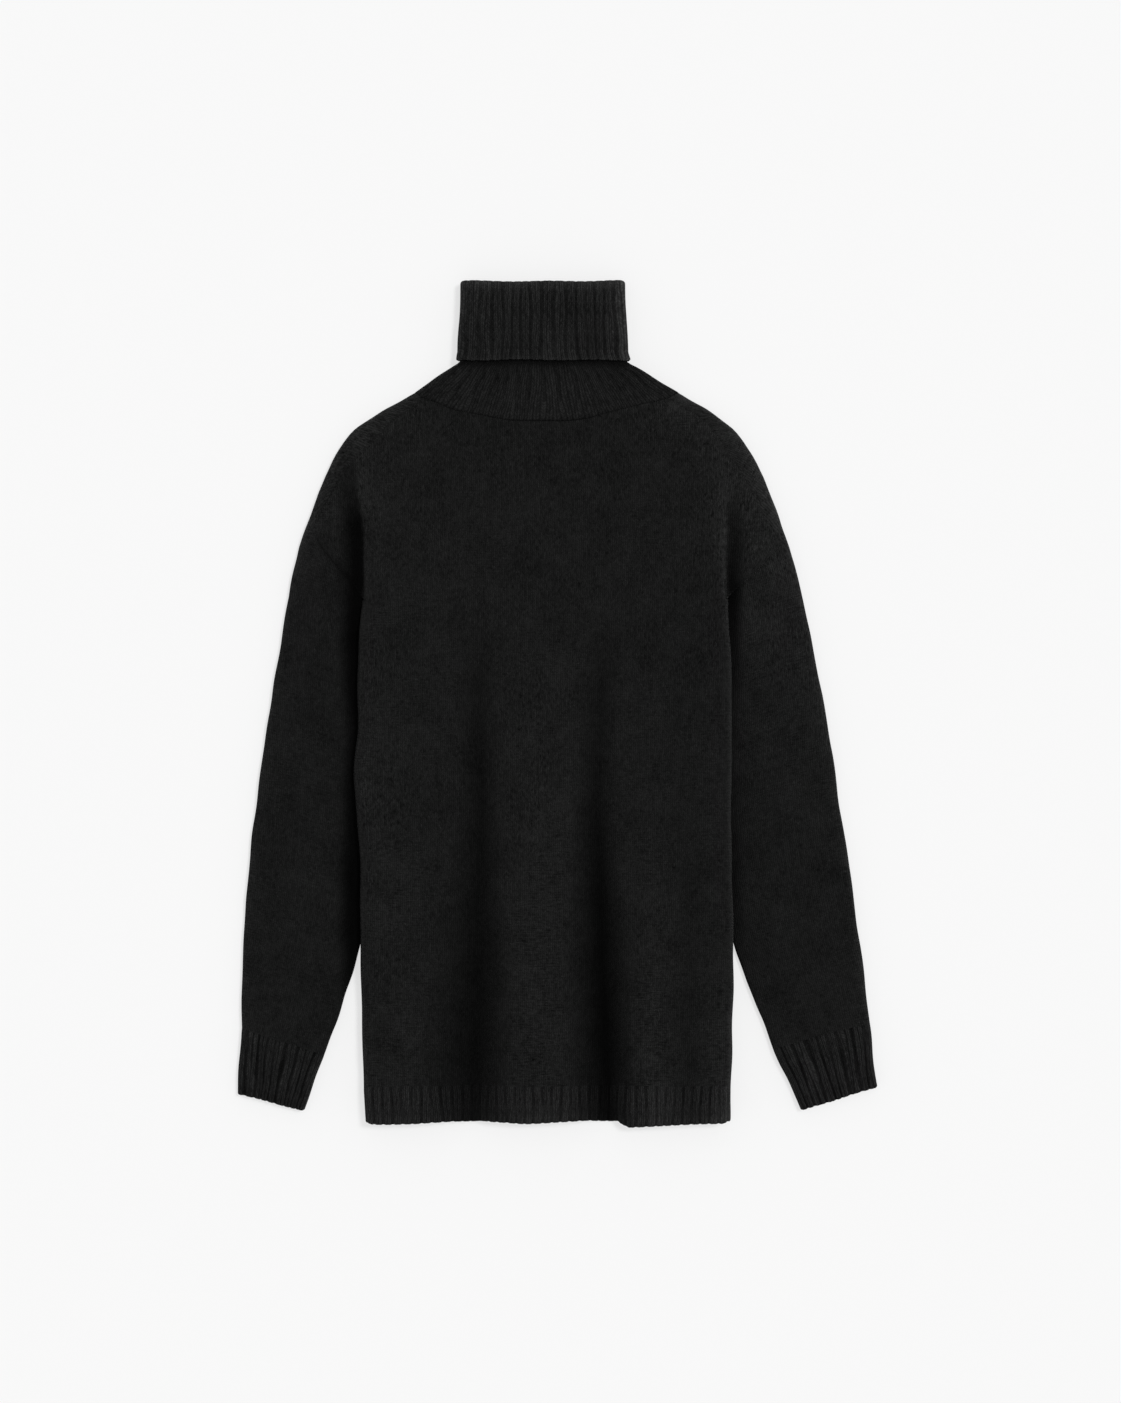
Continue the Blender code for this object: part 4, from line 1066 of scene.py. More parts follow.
def fold_light(x, y):
    """Painted shade: the share of its light that the front keeps in the long folds, and painted
    highlights on the ridges beside them.
    """
    light = np.ones(np.shape(x))
    for side, fold in zip(SIDES, FOLDS):
        trough = fold_trough(fold, y)
        reach = np.where(x < trough, fold.dark_right, fold.dark_left)
        across = np.abs(x - trough) / (reach * along(FOLD_SHADES, "y", "narrow_" + side, y))
        valley = 1.0 - (np.sqrt(across ** 2 + TROUGH_SQUARE) - TROUGH_DROP)
        light = light * (1.0 - along(FOLD_SHADES, "y", side, y) * np.clip(valley, 0.0, 1.0))
    for ridge in RIDGES:
        gain = np.interp(y, (0.0, ridge.y_higher, ridge.y_end), (ridge.at_hem, ridge.higher, 0.0))
        light = light * (1.0 + gain * bell(x - ridge.x, ridge.width))
    return light


def side_light(x, y):
    """Painted shade: the share of its light that the cloth keeps beside the body, under its edge."""
    light = np.ones(np.shape(x))
    out = off_side(x, y)
    for side, rows in SIDE_SHADES.items():
        least, stays, clears = (along(rows, "y", name, y) for name in SIDE_SHADE.split()[1:])
        clear = smooth((out - stays) / clears)
        inside = smooth((-out - SIDE_EDGE) / DARK_ENDS)
        dark = (1.0 - least) * (1.0 - clear) * (1.0 - inside)
        light = light * np.where(on_side(x, side), 1.0 - dark, 1.0)
    return light


def painted_highlights(x, y):
    """Painted highlights on the body's sides, along the outline and on the lit upper sleeve."""
    inside = -off_side(x, y)
    gain = np.zeros(np.shape(x))
    for highlight in SIDE_HIGHLIGHTS:
        edge = fading(inside, highlight.across) * smooth((inside + SIDE_EDGE) / HIGHLIGHT_STARTS)
        gain = gain + highlight.gain * edge * bell(y - highlight.y, highlight.along) * on_side(x, highlight.side)
    gap = gap_to(np.stack([x, y], axis=-1), OUTLINE)
    high = between(y, SHOULDER_HIGHLIGHT_FROM, SHOULDER_HIGHLIGHT_FULL)
    for side, highlight in EDGE_HIGHLIGHTS.items():
        pale = highlight.edge * fading(gap, EDGE_HIGHLIGHT_REACH) + highlight.shoulder * high * fading(gap, highlight.across)
        gain = gain + pale * on_side(x, side)
    highlight = LIT_SLEEVE
    lit = highlight.gain * smooth(-inside / highlight.across) * on_side(x, highlight.side)
    return 1.0 + gain + lit * bell(y - highlight.y, highlight.along)


def cloth_light(points):
    """The painted light and shade of plain knit, with the dark line of the armhole's seam, as a share of
    its yarn's tone.
    """
    x, y = points[..., 0], points[..., 1]
    shade = ARMHOLE_SHADE
    clear = smooth((off_side(x, y) - shade.off_crease) / shade.full)
    shown = smooth((gap_to(points[..., :2], OUTLINE) - shade.off_outline) / shade.full) * clear
    gap = gap_to(points[..., :2], ARMHOLES)
    seam = np.where(x > 0.0, shade.left, shade.right) * bell(gap, shade.reach) * shown
    # Painted shade in the underarm crease, along the armhole.
    pit_shade = UNDERARM_DARK * bell(gap, UNDERARM_DARK_REACH) * (1.0 - clear)
    return fold_light(x, y) * side_light(x, y) * painted_highlights(x, y) * (1.0 - seam) * (1.0 - pit_shade)


def hem_light(points):
    x, y = points[..., 0], points[..., 1]
    up = y - along(HEM_EDGE, "x", "y", x)
    # The painted light and shade of the cloth, with a painted highlight along the free edge.
    return cloth_light(points) * (1.0 + HEM_HIGHLIGHT * fading(up, HEM_HIGHLIGHT_REACH))


def neck_seam_dark(x):
    """How dark the neck's seam is: most in the middle of the chest."""
    return NECK_SEAM_DARK + NECK_SEAM_DARKER * bell(x, NECK_SEAM_MIDDLE)


def collar_light(grid):
    """Painted shadow: the neck is dark in the narrow gap under the free edge of the turned-down part.
    Painted highlights make the collar pale over the top fold and along the free edge and the sides."""
    x, y = grid[..., 0] - COLLAR_SHIFT, grid[..., 1]
    run, to_edge = (distances[:, None] for distances in row_distances(grid))
    gap = smooth((y - COLLAR_EDGE + GAP_BELOW) / GAP_FADE)
    seam = neck_seam_dark(x) * (1.0 - smooth(run / SEAM_SHADOW))
    neck = NECK_TONE * (1.0 - GAP_DARK * gap) * (1.0 - seam)
    half = np.interp(y, (COLLAR_EDGE, COLLAR_TOP), (COLLAR_HALF_AT_EDGE, COLLAR_HALF_AT_TOP))
    pale = TOP_HIGHLIGHT.gain * fading(COLLAR_TOP - y, TOP_HIGHLIGHT.reach)
    pale = pale + FREE_EDGE_HIGHLIGHT.gain * fading(to_edge, FREE_EDGE_HIGHLIGHT.reach)
    for side, highlight in COLLAR_HIGHLIGHTS.items():
        pale = pale + highlight.gain * fading(half - SIDES[side] * x, highlight.reach)
    return np.where(run < NECK_PART * run[-1], neck, 1.0 + pale)


# ---------------------------------------------------------------- where each stitch lies
def knit_places(wales, courses, light, ribbing=1.0):
    """Where a point lies in the knit, its tone with the painted light and shade, and how plainly its
    ribs show.
    """
    return np.stack(np.broadcast_arrays(wales, courses, light, ribbing), axis=-1)


def front_knit(grid):
    """Wales run up the panel and go on round its rolled sides."""
    x, y = grid[..., 0], grid[..., 1]
    round_side = SIDE_HEIGHT * (1.0 - roll_rise())
    return knit_places((x + np.sign(x) * round_side) / WALE, y / COURSE, cloth_light(grid))


def back_knit(grid):
    """Its armhole edge gets the same painted shade as the crease above it."""
    x, y, z = np.moveaxis(grid, -1, 0)
    light = np.ones(x.shape)
    light[BODY_ROWS:, [0, -1]] = cloth_light(grid[BODY_ROWS:, [0, -1]])
    return knit_places((x + np.sign(x) * z) / WALE, y / COURSE, light)


def flap_knit(flap):
    """The back's knit goes on over the shoulder, so on top its wales run slantwise."""
    outward = unit(flap[0, :, :2] - flap[-1, :, :2])
    plan = flap[0, :, :2] + outward * run_up(lengths(flap))[..., None]
    return knit_places(plan[..., 0] / WALE, plan[..., 1] / COURSE, cloth_light(flap))


def tube_knit(grid, top):
    """A sleeve's wales run from the middle of its top both ways round it, and its courses
    are counted from its cuff."""
    steps = np.linalg.norm(grid - np.roll(grid, 1, axis=1), axis=-1)
    run = np.cumsum(steps, axis=1)
    run = np.abs(run - run[:, top:top + 1])
    run = np.minimum(run, steps.sum(axis=1, keepdims=True) - run)
    up = run_up(lengths(grid)[::-1])[::-1]
    return knit_places(run / WALE, up / COURSE, cloth_light(grid))


# ---------------------------------------------------------------- ribs
def finer(grid, shares, new_shares):
    """The same rows with their columns at new shares, on the straight lines between."""
    rows = [[np.interp(new_shares, shares, row[:, axis]) for axis in range(3)] for row in grid]
    return np.array(rows).transpose(0, 2, 1)


def rib_phase(shares, run, ribs, seed):
    """A whole number between two ribs. Hand and wear leave no rib quite straight."""
    shares, run = shares[None, :], run[:, None]
    phase = 0.0
    for sway in SWAYS:
        turn = sway.across * shares + sway.start * seed + run / sway.length
        phase = phase + sway.amount * np.sin(2.0 * math.pi * turn)
    return ribs * shares + phase


def rib_wave(phase):
    """1 on the broad top of each rib and 0 in the narrow groove between two ribs. A rib is
    two columns of stitches, with a slight dip between them."""
    groove = np.abs(np.cos(math.pi * phase)) ** GROOVE_SHARP
    dip = np.abs(np.sin(math.pi * phase)) ** DIP_SHARP
    return 1.0 - groove - DIP * dip


def scalloped(points, wave, run_to_edge, last, longer):
    """Each rib reaches a little further than the grooves at a free edge."""
    way = unit(points[-1] - points[-3]) if last else unit(points[0] - points[2])
    share = smooth(1.0 - run_to_edge / SCALLOP_REACH)[:, None, None]
    return points + way * share * (longer + (wave - 1.0) * SCALLOP)[..., None]


def ribbed(grid, closed, flip, phase, outside, inside, light, free_last, dents, longer,
           ribbing=1.0):
    """One rib-knit patch with the faces of its wall. outside and inside say how far the ribs
    stand out of either face, from 0 to 1. dents has how far the first and the last row close,
    and longer how far the ribs reach past the free edge."""
    first_run, last_run = row_distances(grid)
    wave = rib_wave(phase)
    grid = scalloped(grid, wave, last_run if free_last else first_run, free_last, longer)
    normals = grid_normals(grid, closed, flip)
    facing = mix(SIDEWAYS_RELIEF, 1.0, np.abs(normals[..., 2:]))
    relief = RELIEF * wave[..., None] * normals * facing
    outer = grid + relief * outside[..., None]
    inner = grid - normals * RIB_WALL - relief * inside[..., None]
    closing = edge_profile(first_run, dents[0]) + edge_profile(last_run, dents[1])
    closing = np.broadcast_to(closing[:, None], phase.shape)
    knit = knit_places(phase, first_run[:, None] / COURSE, light, ribbing)
    return Patch(grid, closed, flip, knit, closing), (outer, inner)


def hem_patch(grid, seed, under):
    """A hem band: ribs across its rows, which fade where it meets the body. The back's are
    not seen, so there they are in the knit alone."""
    grid = with_edge_rows(grid, last=False)
    new_shares = even(POINTS_PER_RIB * RIBS_HEM + 1)
    grid = finer(grid, line_shares(grid[-1]), new_shares)
    _, to_seam = row_distances(grid)
    phase = rib_phase(new_shares, to_seam, RIBS_HEM, seed)
    flat = np.zeros((len(grid), 1))
    outside = flat if under else smooth(to_seam / HEM_RIBS_FADE)[:, None]
    light = 1.0 if under else hem_light(grid)
    return ribbed(grid, False, under, phase, outside, flat, light, False,
                  (FREE_DENT, 0.0), HEM_LONGER)


def ring_patch(grid, count, ribs, seed, flip, shown, light, dents, longer):
    """A closed ribbed ring whose upper half has count points, and its ribs on that half alone.
    shown gives, for each row, how far the ribs stand out of the outer and of the inner face,
    and how plainly they show."""
    upper_half = grid[:, :count]
    lower_half = np.concatenate([grid[:, count - 1:], grid[:, :1]], axis=1)
    run, _ = row_distances(grid)
    points, phases, tops = [], [], []
    for half, number, top in ((upper_half, POINTS_PER_RIB * ribs, 1.0), (lower_half, UNDER_POINTS, 0.0)):
        new_shares = np.linspace(0.0, 1.0, number, endpoint=False)
        points.append(finer(half, line_shares(half[0]), new_shares))
        way = new_shares if top else 1.0 - new_shares
        phases.append(rib_phase(way, run, ribs, seed))
        tops.append(np.full(number, top))
    grid, phase = np.concatenate(points, axis=1), np.concatenate(phases, axis=1)
    top = np.concatenate(tops)
    outside, inside, ribbing = (values[:, None] for values in shown(run))
    return ribbed(grid, True, flip, phase, outside * top, inside * top, light(grid), True,
                  dents, longer, ribbing)


# ---------------------------------------------------------------- pieces
Made = namedtuple("Made", "node slot points faces knit")
RIB_SEEDS = {"hem_front": 0.0, "hem_back": 0.37, "collar": 0.21, "cuff_right": 0.55, "cuff_left": 0.83}
NECK_RIBS = 0.5             # how far the ribs stand out on the neck, as a share of a rib
NECK_RIBS_FADE = 0.012      # over which length up from the seam they come out
NECK_RIBS_END = 14.0        # rings before the crease where they begin to go
NECK_RIBS_LEAVE = 10.0      # and over how many rings they are gone
TURNED_RIBS_FULL = 4.0      # rings past the crease over which they come back on the other face
NECK_RIBS_PLAIN = 0.25      # how plainly their grooves show at the seam
NECK_RIBS_PLAINER = 0.35    # and how much more so further up
NECK_RIBS_RISE = 0.05       # over this length


def off_underarm(steps):
    """0 where the armhole goes round the sleeve's inner edge, so that its seam stays shut
    there, and 1 further on. steps counts the armhole's points from the underarm."""
    return smooth((steps - SHUT_STEPS) / OPENING_STEPS)


def panel_patch(grid, flip, knit, seam_dent):
    """A plain-knit panel: it closes a little at its top seam and at its armholes."""
    _, to_top = row_distances(grid)
    closing = edge_profile(to_top, 1.0)[:, None] * seam_dent
    up_armhole = np.arange(len(grid) - BODY_ROWS - 1)
    closing[BODY_ROWS + 1:, [0, -1]] = SEAM_DENT * off_underarm(up_armhole)[:, None]
    dark = np.full(grid.shape[1], SHOULDER_SEAM_DARK)
    dark[NECK_COLUMNS] = neck_seam_dark(grid[-1, NECK_COLUMNS, 0])
    return Patch(grid, False, flip, seamed(knit, to_top, dark), closing)


def top_dents():
    """How deep the seam is at each of a panel's columns: deeper along the neck."""
    dents = np.full(BODY_COLUMNS, SEAM_DENT)
    dents[NECK_COLUMNS] = NECK_DENT
    return dents


def seamed(knit, distance, dark):
    """Darkens the knit next to a seam: distance is that of each of its rows."""
    near = 1.0 - smooth(distance / SEAM_SHADOW)
    knit = knit.copy()
    knit[..., 2] *= 1.0 - dark * near[:, None]
    return knit


def flap_patch(flap):
    _, to_seam = row_distances(flap)
    closing = np.repeat(edge_profile(to_seam, SEAM_DENT)[:, None], flap.shape[1], axis=1)
    closing[:, [0, -1]] = SEAM_DENT
    return Patch(flap, False, True, seamed(flap_knit(flap), to_seam, FLAP_SEAM_DARK), closing)


def sleeve_patch(sleeve, flip):
    sleeve = with_edge_rows(sleeve, last=False)
    run, _ = row_distances(sleeve)
    columns = np.arange(sleeve.shape[1])
    steps = np.minimum(columns, sleeve.shape[1] - columns)
    closing = edge_profile(run, SEAM_DENT)[:, None] * off_underarm(steps)
    top = len(EDGE_ANGLES) + 1 + ARMHOLE_STEPS // 2
    return Patch(sleeve, True, flip, seamed(tube_knit(sleeve, top), run, SLEEVE_SEAM_DARK), closing)


def cuff_shown(run):
    return smooth(run / CUFF_RIBS_FADE), np.zeros(len(run)), np.ones(len(run))


def collar_shown(neck_count):
    """The ribs stand out of the tube's outer face on the neck and of its inner face, which
    shows, on the turned-down part. They are plainest there."""
    def shown(run):
        past_crease = np.arange(len(run)) - neck_count
        inside = smooth((past_crease - 1.0) / TURNED_RIBS_FULL)
        outside = NECK_RIBS * smooth(run / NECK_RIBS_FADE)
        outside = outside * (1.0 - smooth((past_crease + NECK_RIBS_END) / NECK_RIBS_LEAVE))
        plain = NECK_RIBS_PLAIN + NECK_RIBS_PLAINER * smooth(run / NECK_RIBS_RISE)
        return outside, inside, mix(plain, 1.0, inside)

    return shown


def plain_piece(node, patches):
    return Made(node, "plain_knit", *shell(patches, KNIT_WALL))


def rib_piece(node, patch, faces):
    return Made(node, "rib_knit", *shell([patch], RIB_WALL, [faces]))


def make_panels(front, back, flaps):
    columns = back_columns()
    yield plain_piece("front", [panel_patch(front, False, front_knit(front), top_dents())])
    panel = panel_patch(back, True, back_knit(back), top_dents()[columns])
    yield plain_piece("back", [panel] + [flap_patch(flap) for flap in flaps.values()])
    yield rib_piece("hem_front", *hem_patch(hem_grid(False, SIDE_ROLL), RIB_SEEDS["hem_front"], False))
    band = hem_grid(True, BACK_ROLL)[:, columns]
    yield rib_piece("hem_back", *hem_patch(band, RIB_SEEDS["hem_back"], True))


def make_collar(front, back, flaps):
    upper, lower = neck_seam_halves(front, back, flaps)
    grid, neck_count = collar_grid(upper, lower)
    dents = (NECK_DENT, FREE_DENT)
    yield rib_piece("collar", *ring_patch(
        with_edge_rows(grid), len(upper), RIBS_COLLAR, RIB_SEEDS["collar"], False,
        collar_shown(neck_count), collar_light, dents, COLLAR_LONGER))


def make_arm(side):
    """A sleeve, and its cuff from the sleeve's last ring on."""
    mirrored = side == "left"
    sleeve = sleeve_grid(side)
    yield plain_piece("sleeve_" + side, [sleeve_patch(sleeve, mirrored)])
    node = "cuff_" + side
    cuff = with_edge_rows(cuff_grid(side, sleeve[-1]), first=False)
    yield rib_piece(node, *ring_patch(
        cuff, CUFF_UPPER_POINTS, RIBS_CUFF, RIB_SEEDS[node], mirrored, cuff_shown, cloth_light,
        (0.0, FREE_DENT), CUFF_LONGER))


def make_pieces():
    front = with_edge_rows(body_grid(False, SIDE_ROLL), first=False)
    back = with_edge_rows(body_grid(True, BACK_ROLL)[:, back_columns()], first=False)
    flaps = {side: shoulder_flap(side) for side in SIDES}
    yield from make_panels(front, back, flaps)
    yield from make_collar(front, back, flaps)
    for side in SIDES:
        yield from make_arm(side)


# ---------------------------------------------------------------- materials
# Noise over the garment: how fine it is, in how many steps, and how rough.
Noise = namedtuple("Noise", "scale detail roughness")
SWAY = Noise(160.0, 2.0, 0.5)           # columns of stitches to either side
DRIFT = Noise(230.0, 2.0, 0.5)          # and rows up and down
FUZZ = Noise(420.0, 4.0, 0.7)
MOTTLE = Noise(95.0, 2.0, 0.5)
CLOUD = Noise(32.0, 2.0, 0.5)
FLECK = Noise(330.0, 2.0, 0.5)
PATCHES = Noise(17.0, 1.0, 0.5)         # where columns show more than rows, or rows more
GRAIN = Noise(1.0, 2.0, 0.6)            # its scale is in the places it is read at
# Grain is noise drawn out along the knit: how fine it is across and up it.
STREAK_UP = 0.045
DASH_UP = 0.50
LEVEL_ACROSS = 0.22                     # as a share of that of the upright dashes
LEVEL_UP = 2.2
UNEVEN_ACROSS = 1.3
UNEVEN_UP = 0.03
PATCH_SPREAD = (-2.5, 3.5)              # noise of 0 to 1 is spread over this, for plain patches
UNEVEN_SPREAD = (-0.2, 2.2)
FLECK_FROM = 0.66                       # noise over this is a pale fleck
ROUGH_GAIN = 3.6                        # how much more the dashes show where painted light makes the knit lighter
ROUGH_LOSS = -2.6
ROUGH_RANGE = (0.2, 1.9)
STITCH_SLANT = 2.0                      # rows a leg rises over the whole width of its column
LEG_FLAT = 0.4                          # share of a leg's height that it has all along
RIB_TOP = 0.72                          # share of a rib that is its two columns of stitches
GAP_SHARP = 9.0                         # powers: the higher, the narrower the dark line
MIDDLE_SHARP = 40.0
LEVEL_BELOW = 150.0                     # courses up, where rows begin to show more than columns
SHEEN_ROUGHNESS = 0.35

# How each knit looks. Most values are how strongly one thing shows. groove, gap and middle are the tone
# that painted shade leaves between legs, between ribs and in the middle of a rib.
Look = namedtuple("Look", "ribbed colour groove gap middle speckle strands mottle cloud streak "
                          "streaks_across dash dashes_across fleck sway drift fuzz bump specular "
                          "sheen")
PLAIN = Look(ribbed=False, colour=(0.0097, 0.0098, 0.0097), groove=0.62, gap=1.0, middle=1.0,
             speckle=1.3, strands=0.45, mottle=0.45, cloud=0.75, streak=0.30, streaks_across=0.9,
             dash=1.3, dashes_across=2.0, fleck=5.5, sway=0.5, drift=0.9, fuzz=0.7, bump=0.0006,
             specular=0.03, sheen=0.04)
SLEEVE = PLAIN._replace(speckle=1.25, strands=0.38, fleck=5.0)
RIBBED = PLAIN._replace(ribbed=True, colour=(0.0160, 0.0161, 0.0160), groove=0.40, gap=0.44,
                        middle=0.68, speckle=1.2, strands=0.60, streak=1.10, streaks_across=3.1,
                        dash=0.3, dashes_across=5.0, fleck=3.0, sway=0.2, cloud=0.55, fuzz=0.5,
                        bump=0.0008)
CUFF = RIBBED._replace(colour=(0.0170, 0.0171, 0.0170), gap=0.20, middle=0.50)
LOOKS = {"front": PLAIN, "back": PLAIN, "sleeve_right": SLEEVE, "sleeve_left": SLEEVE,
         "hem_front": RIBBED, "hem_back": RIBBED, "collar": RIBBED,
         "cuff_right": CUFF, "cuff_left": CUFF}


class Nodes:
    """The nodes of one material or world. Values may be numbers or other nodes' outputs."""

    def __init__(self, tree):
        self.tree = tree

    def link(self, socket, value):
        if isinstance(value, bpy.types.NodeSocket):
            self.tree.links.new(value, socket)
        else:
            socket.default_value = value

    def new(self, kind, *values, operation=None, **named):
        node = self.tree.nodes.new("ShaderNode" + kind)
        if operation:
            node.operation = operation
        for socket, value in zip(node.inputs, values):
            self.link(socket, value)
        for name, value in named.items():
            self.link(node.inputs[name], value)
        return node

    def maths(self, operation, *values):
        return self.new("Math", *values, operation=operation).outputs[0]

    def times(self, a, b):
        return self.maths("MULTIPLY", a, b)

    def minus(self, a, b):
        return self.maths("SUBTRACT", a, b)

    def scaled(self, value, factor, plus):
        return self.maths("MULTIPLY_ADD", value, factor, plus)

    def most(self, a, b):
        return self.maths("MAXIMUM", a, b)

    def attribute(self, name, output):
        node = self.new("Attribute")
        node.attribute_name = name
        return node.outputs[output]

    def split(self, vector):
        return self.new("SeparateXYZ", vector).outputs

    def blend(self, share, low, high):
        """low where share is 0 and high where it is 1."""
        return self.new("MapRange", **{"Value": share, "To Min": low, "To Max": high}).outputs[0]

    def noise(self, place, kind):
        return self.new("TexNoise", Vector=place, Scale=kind.scale, Detail=kind.detail,
                        Roughness=kind.roughness).outputs["Fac"]

    def grain(self, across, across_scale, up, up_scale):
        place = self.new("CombineXYZ", self.times(across, across_scale), self.times(up, up_scale))
        return self.noise(place.outputs[0], GRAIN)

    def stitch(self, across, up):
        """One column of stitches for each whole number across, one row for each up. Two legs
        lean out from the column's middle to its sides. Gives the height of the yarn, and a
        number of its own for each leg."""
        off_middle = self.maths("ABSOLUTE", self.minus(self.maths("FRACT", across), 0.5))
        leg = self.maths("SINE", self.times(off_middle, 2.0 * math.pi))
        slant = self.minus(up, self.times(off_middle, STITCH_SLANT))
        turn = self.maths("COSINE", self.times(slant, 2.0 * math.pi))
        strand = self.scaled(turn, -0.5, 0.5)
        legs = self.maths("FLOOR", self.times(across, 2.0))
        cell = self.new("CombineXYZ", legs, self.maths("FLOOR", slant)).outputs[0]
        own = self.new("TexWhiteNoise", Vector=cell).outputs["Value"]
        return self.times(leg, self.scaled(strand, 1.0 - LEG_FLAT, LEG_FLAT)), own


def knit_tone(nodes, look):
    """The tone and the height of stockinette, or of 2x2 rib where look.ribbed is set, from the
    piece's own attributes."""
    wales, courses, light = nodes.split(nodes.attribute("knit", "Vector"))
    ribbing = nodes.attribute("ribbing", "Fac")
    place = nodes.new("TexCoord").outputs["Object"]

    sway = nodes.minus(nodes.noise(place, SWAY), 0.5)
    drift = nodes.minus(nodes.noise(place, DRIFT), 0.5)
    across = wales
    if look.ribbed:
        across = nodes.times(nodes.minus(nodes.maths("FRACT", wales), 0.5), 2.0 / RIB_TOP)
    up = nodes.scaled(drift, look.drift, courses)
    knit, own = nodes.stitch(nodes.scaled(sway, look.sway, across), up)

    fuzz = nodes.noise(place, FUZZ)
    streak = nodes.grain(wales, look.streaks_across, courses, STREAK_UP)
    upright = nodes.grain(wales, look.dashes_across, courses, DASH_UP)
    level = nodes.grain(wales, LEVEL_ACROSS * look.dashes_across, courses, LEVEL_UP)
    low = nodes.scaled(courses, -1.0 / LEVEL_BELOW, 1.0)
    patch = nodes.maths("ADD", nodes.blend(nodes.noise(place, PATCHES), *PATCH_SPREAD), low)
    dash = nodes.blend(patch, upright, level)
    rough = nodes.maths("MINIMUM", nodes.scaled(light, ROUGH_GAIN, ROUGH_LOSS), ROUGH_RANGE[1])
    rough = nodes.times(nodes.most(rough, ROUGH_RANGE[0]), look.dash)
    fleck = nodes.most(nodes.minus(nodes.noise(place, FLECK), FLECK_FROM), 0.0)
    tone = nodes.scaled(fleck, look.fleck, 1.0)
    for field, amount in ((fuzz, look.speckle), (own, look.strands),
                          (nodes.noise(place, MOTTLE), look.mottle),
                          (nodes.noise(place, CLOUD), look.cloud),
                          (streak, look.streak), (dash, rough)):
        tone = nodes.scaled(nodes.minus(field, 0.5), amount, tone)
    # Painted shade where the yarn lies low between the legs of the stitches.
    tone = nodes.times(tone, nodes.blend(knit, look.groove, 1.0))
    if look.ribbed:
        uneven = nodes.grain(wales, UNEVEN_ACROSS, courses, UNEVEN_UP)
        plain = nodes.times(ribbing, nodes.blend(uneven, *UNEVEN_SPREAD))
        turn = nodes.times(wales, math.pi)
        # Painted shade in the grooves between the ribs and in the dip in the middle of each rib.
        for wave, sharp, dark in (("COSINE", GAP_SHARP, look.gap), ("SINE", MIDDLE_SHARP, look.middle)):
            line = nodes.maths("POWER", nodes.maths("ABSOLUTE", nodes.maths(wave, turn)), sharp)
            tone = nodes.times(tone, nodes.blend(nodes.times(line, plain), 1.0, dark))
    # The tone is scaled by the painted light and shade that the piece carries.
    return nodes.most(nodes.times(tone, light), 0.0), nodes.scaled(fuzz, look.fuzz, knit)


def new_material(name):
    material = bpy.data.materials.new(name)
    material.use_nodes = True
    return material, material.node_tree.nodes["Principled BSDF"]


def knit_material(name, look):
    material, shader = new_material(name)
    nodes = Nodes(material.node_tree)
    tone, height = knit_tone(nodes, look)
    colour = nodes.new("VectorMath", look.colour, operation="SCALE", Scale=tone)
    nodes.link(shader.inputs["Base Color"], colour.outputs[0])
    bump = nodes.new("Bump", Strength=1.0, Distance=look.bump, Height=height)
    nodes.link(shader.inputs["Normal"], bump.outputs[0])
    shader.inputs["Roughness"].default_value = 1.0
    shader.inputs["Specular IOR Level"].default_value = look.specular
    shader.inputs["Sheen Weight"].default_value = look.sheen
    shader.inputs["Sheen Roughness"].default_value = SHEEN_ROUGHNESS
    return material


# ---------------------------------------------------------------- scene
FLOOR_HALF = 60.0           # so wide that its edge lies out of view
FLOOR_DOWN = 0.0003         # it is this far below what lies on it
FLOOR_GREY = 0.26
FLOOR_GLOW = 0.63
SKY_STRENGTH = 0.50         # straight up and straight down
RIM_STRENGTH = 2.0          # how much stronger at the horizon
RIM_SHARP = 3.0
KEY_STRENGTH = 1.9
KEY_SPREAD = math.radians(14.0)
KEY_FROM = (math.radians(33.0), 0.0, math.radians(120.0))   # off the upright, towards the left shoulder
CAMERA_LENS = 75.3
CAMERA_AT = (0.0031, 0.0030, 3.0)

# The cut of each piece: its width and length laid flat, and what it lies on.
Cut = namedtuple("Cut", "width length rests_on")
CUTS = {
    "front": Cut(0.480, 0.705, ("back",)),
    "back": Cut(0.490, 0.720, ("sleeve_left", "sleeve_right")),
    "sleeve_right": Cut(0.250, 0.510, ()),
    "sleeve_left": Cut(0.250, 0.510, ()),
    "cuff_right": Cut(0.165, 0.066, ()),
    "cuff_left": Cut(0.190, 0.066, ()),
    "hem_front": Cut(0.400, 0.042, ("hem_back",)),
    "hem_back": Cut(0.380, 0.041, ()),
    "collar": Cut(0.420, 0.210, ("back",)),
}


def add_object(name, data):
    added = bpy.data.objects.new(name, data)
    bpy.context.scene.collection.objects.link(added)
    return added


def add_attribute(mesh, name, kind, field, values):
    attribute = mesh.attributes.new(name, kind, "POINT")
    attribute.data.foreach_set(field, values.astype(np.float32).ravel())


def make_object(made):
    mesh = bpy.data.meshes.new(made.node + "_cloth")
    mesh.from_pydata(made.points.tolist(), [], made.faces.tolist())
    mesh.update()
    mesh.shade_smooth()
    mesh.set_sharp_from_angle(angle=SHARP_ANGLE)
    mesh.materials.append(knit_material(made.node, LOOKS[made.node]))
    add_attribute(mesh, "knit", "FLOAT_VECTOR", "vector", made.knit[:, :3])
    add_attribute(mesh, "ribbing", "FLOAT", "value", made.knit[:, 3])
    piece = add_object(made.node + "_cloth", mesh)
    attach(piece, "root")
    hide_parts(made.node)
    return piece


def declare(pieces):
    for node, piece in pieces.items():
        cut = CUTS[node]
        half_surface = 0.5 * sum(face.area for face in piece.data.polygons)
        [name + "_cloth" for name in cut.rests_on]


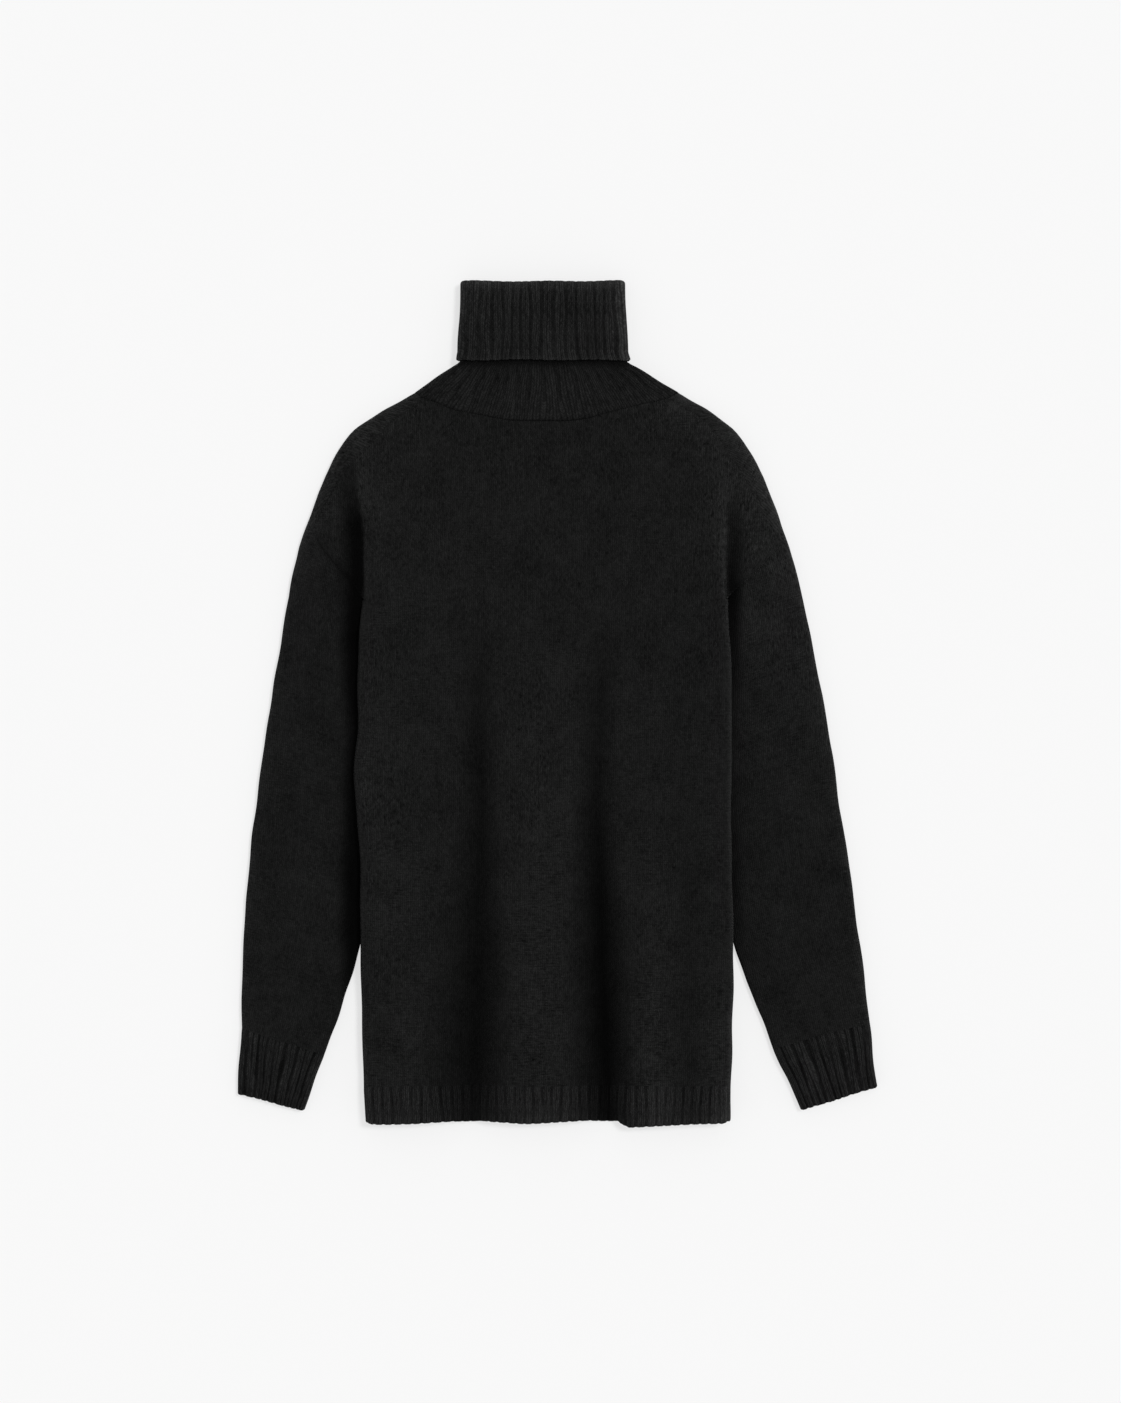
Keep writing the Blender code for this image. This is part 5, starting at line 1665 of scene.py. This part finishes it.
def make_floor():
    corners = [(-1, -1), (1, -1), (1, 1), (-1, 1)]
    mesh = bpy.data.meshes.new("floor")
    points = [(x * FLOOR_HALF, y * FLOOR_HALF, -FLOOR_DOWN) for x, y in corners]
    mesh.from_pydata(points, [], [(0, 1, 2, 3)])
    floor = add_object("floor", mesh)
    material, shader = new_material("pale_floor")
    shader.inputs["Base Color"].default_value = (FLOOR_GREY, FLOOR_GREY, FLOOR_GREY, 1.0)
    shader.inputs["Emission Color"].default_value = (1.0, 1.0, 1.0, 1.0)
    shader.inputs["Emission Strength"].default_value = FLOOR_GLOW
    shader.inputs["Roughness"].default_value = 1.0
    shader.inputs["Specular IOR Level"].default_value = 0.0
    mesh.materials.append(material)
    floor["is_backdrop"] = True


def make_light():
    """Soft light from all round, most at the horizon, and a broad soft key from above the left
    shoulder."""
    scene = bpy.context.scene
    scene.world = bpy.data.worlds.new("studio")
    scene.world.use_nodes = True
    background = scene.world.node_tree.nodes["Background"]
    background.inputs["Color"].default_value = (1.0, 1.0, 1.0, 1.0)
    nodes = Nodes(scene.world.node_tree)
    upright = nodes.maths("ABSOLUTE", nodes.split(nodes.new("TexCoord").outputs["Generated"])[2])
    rim = nodes.maths("POWER", nodes.minus(1.0, upright), RIM_SHARP)
    nodes.link(background.inputs["Strength"], nodes.scaled(rim, RIM_STRENGTH, SKY_STRENGTH))
    scene.view_settings.view_transform = "Standard"
    key = bpy.data.lights.new("key", "SUN")
    key.energy = KEY_STRENGTH
    key.angle = KEY_SPREAD
    add_object("key", key).rotation_euler = KEY_FROM


def make_camera():
    """Straight above, upright in the frame."""
    camera = bpy.data.cameras.new("camera")
    camera.lens = CAMERA_LENS
    view = add_object("camera", camera)
    view.location = CAMERA_AT
    bpy.context.scene.camera = view


def corners(bounds):
    return [[float(value) for value in corner] for corner in bounds]


OUTLINE = outline_lines()
ARMHOLES = armhole_lines()
make_camera()
make_light()
make_floor()
PIECES = {made.node: make_object(made) for made in make_pieces()}
declare(PIECES)
{"cad": corners(CAD_BOX), "visual": corners(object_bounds())}
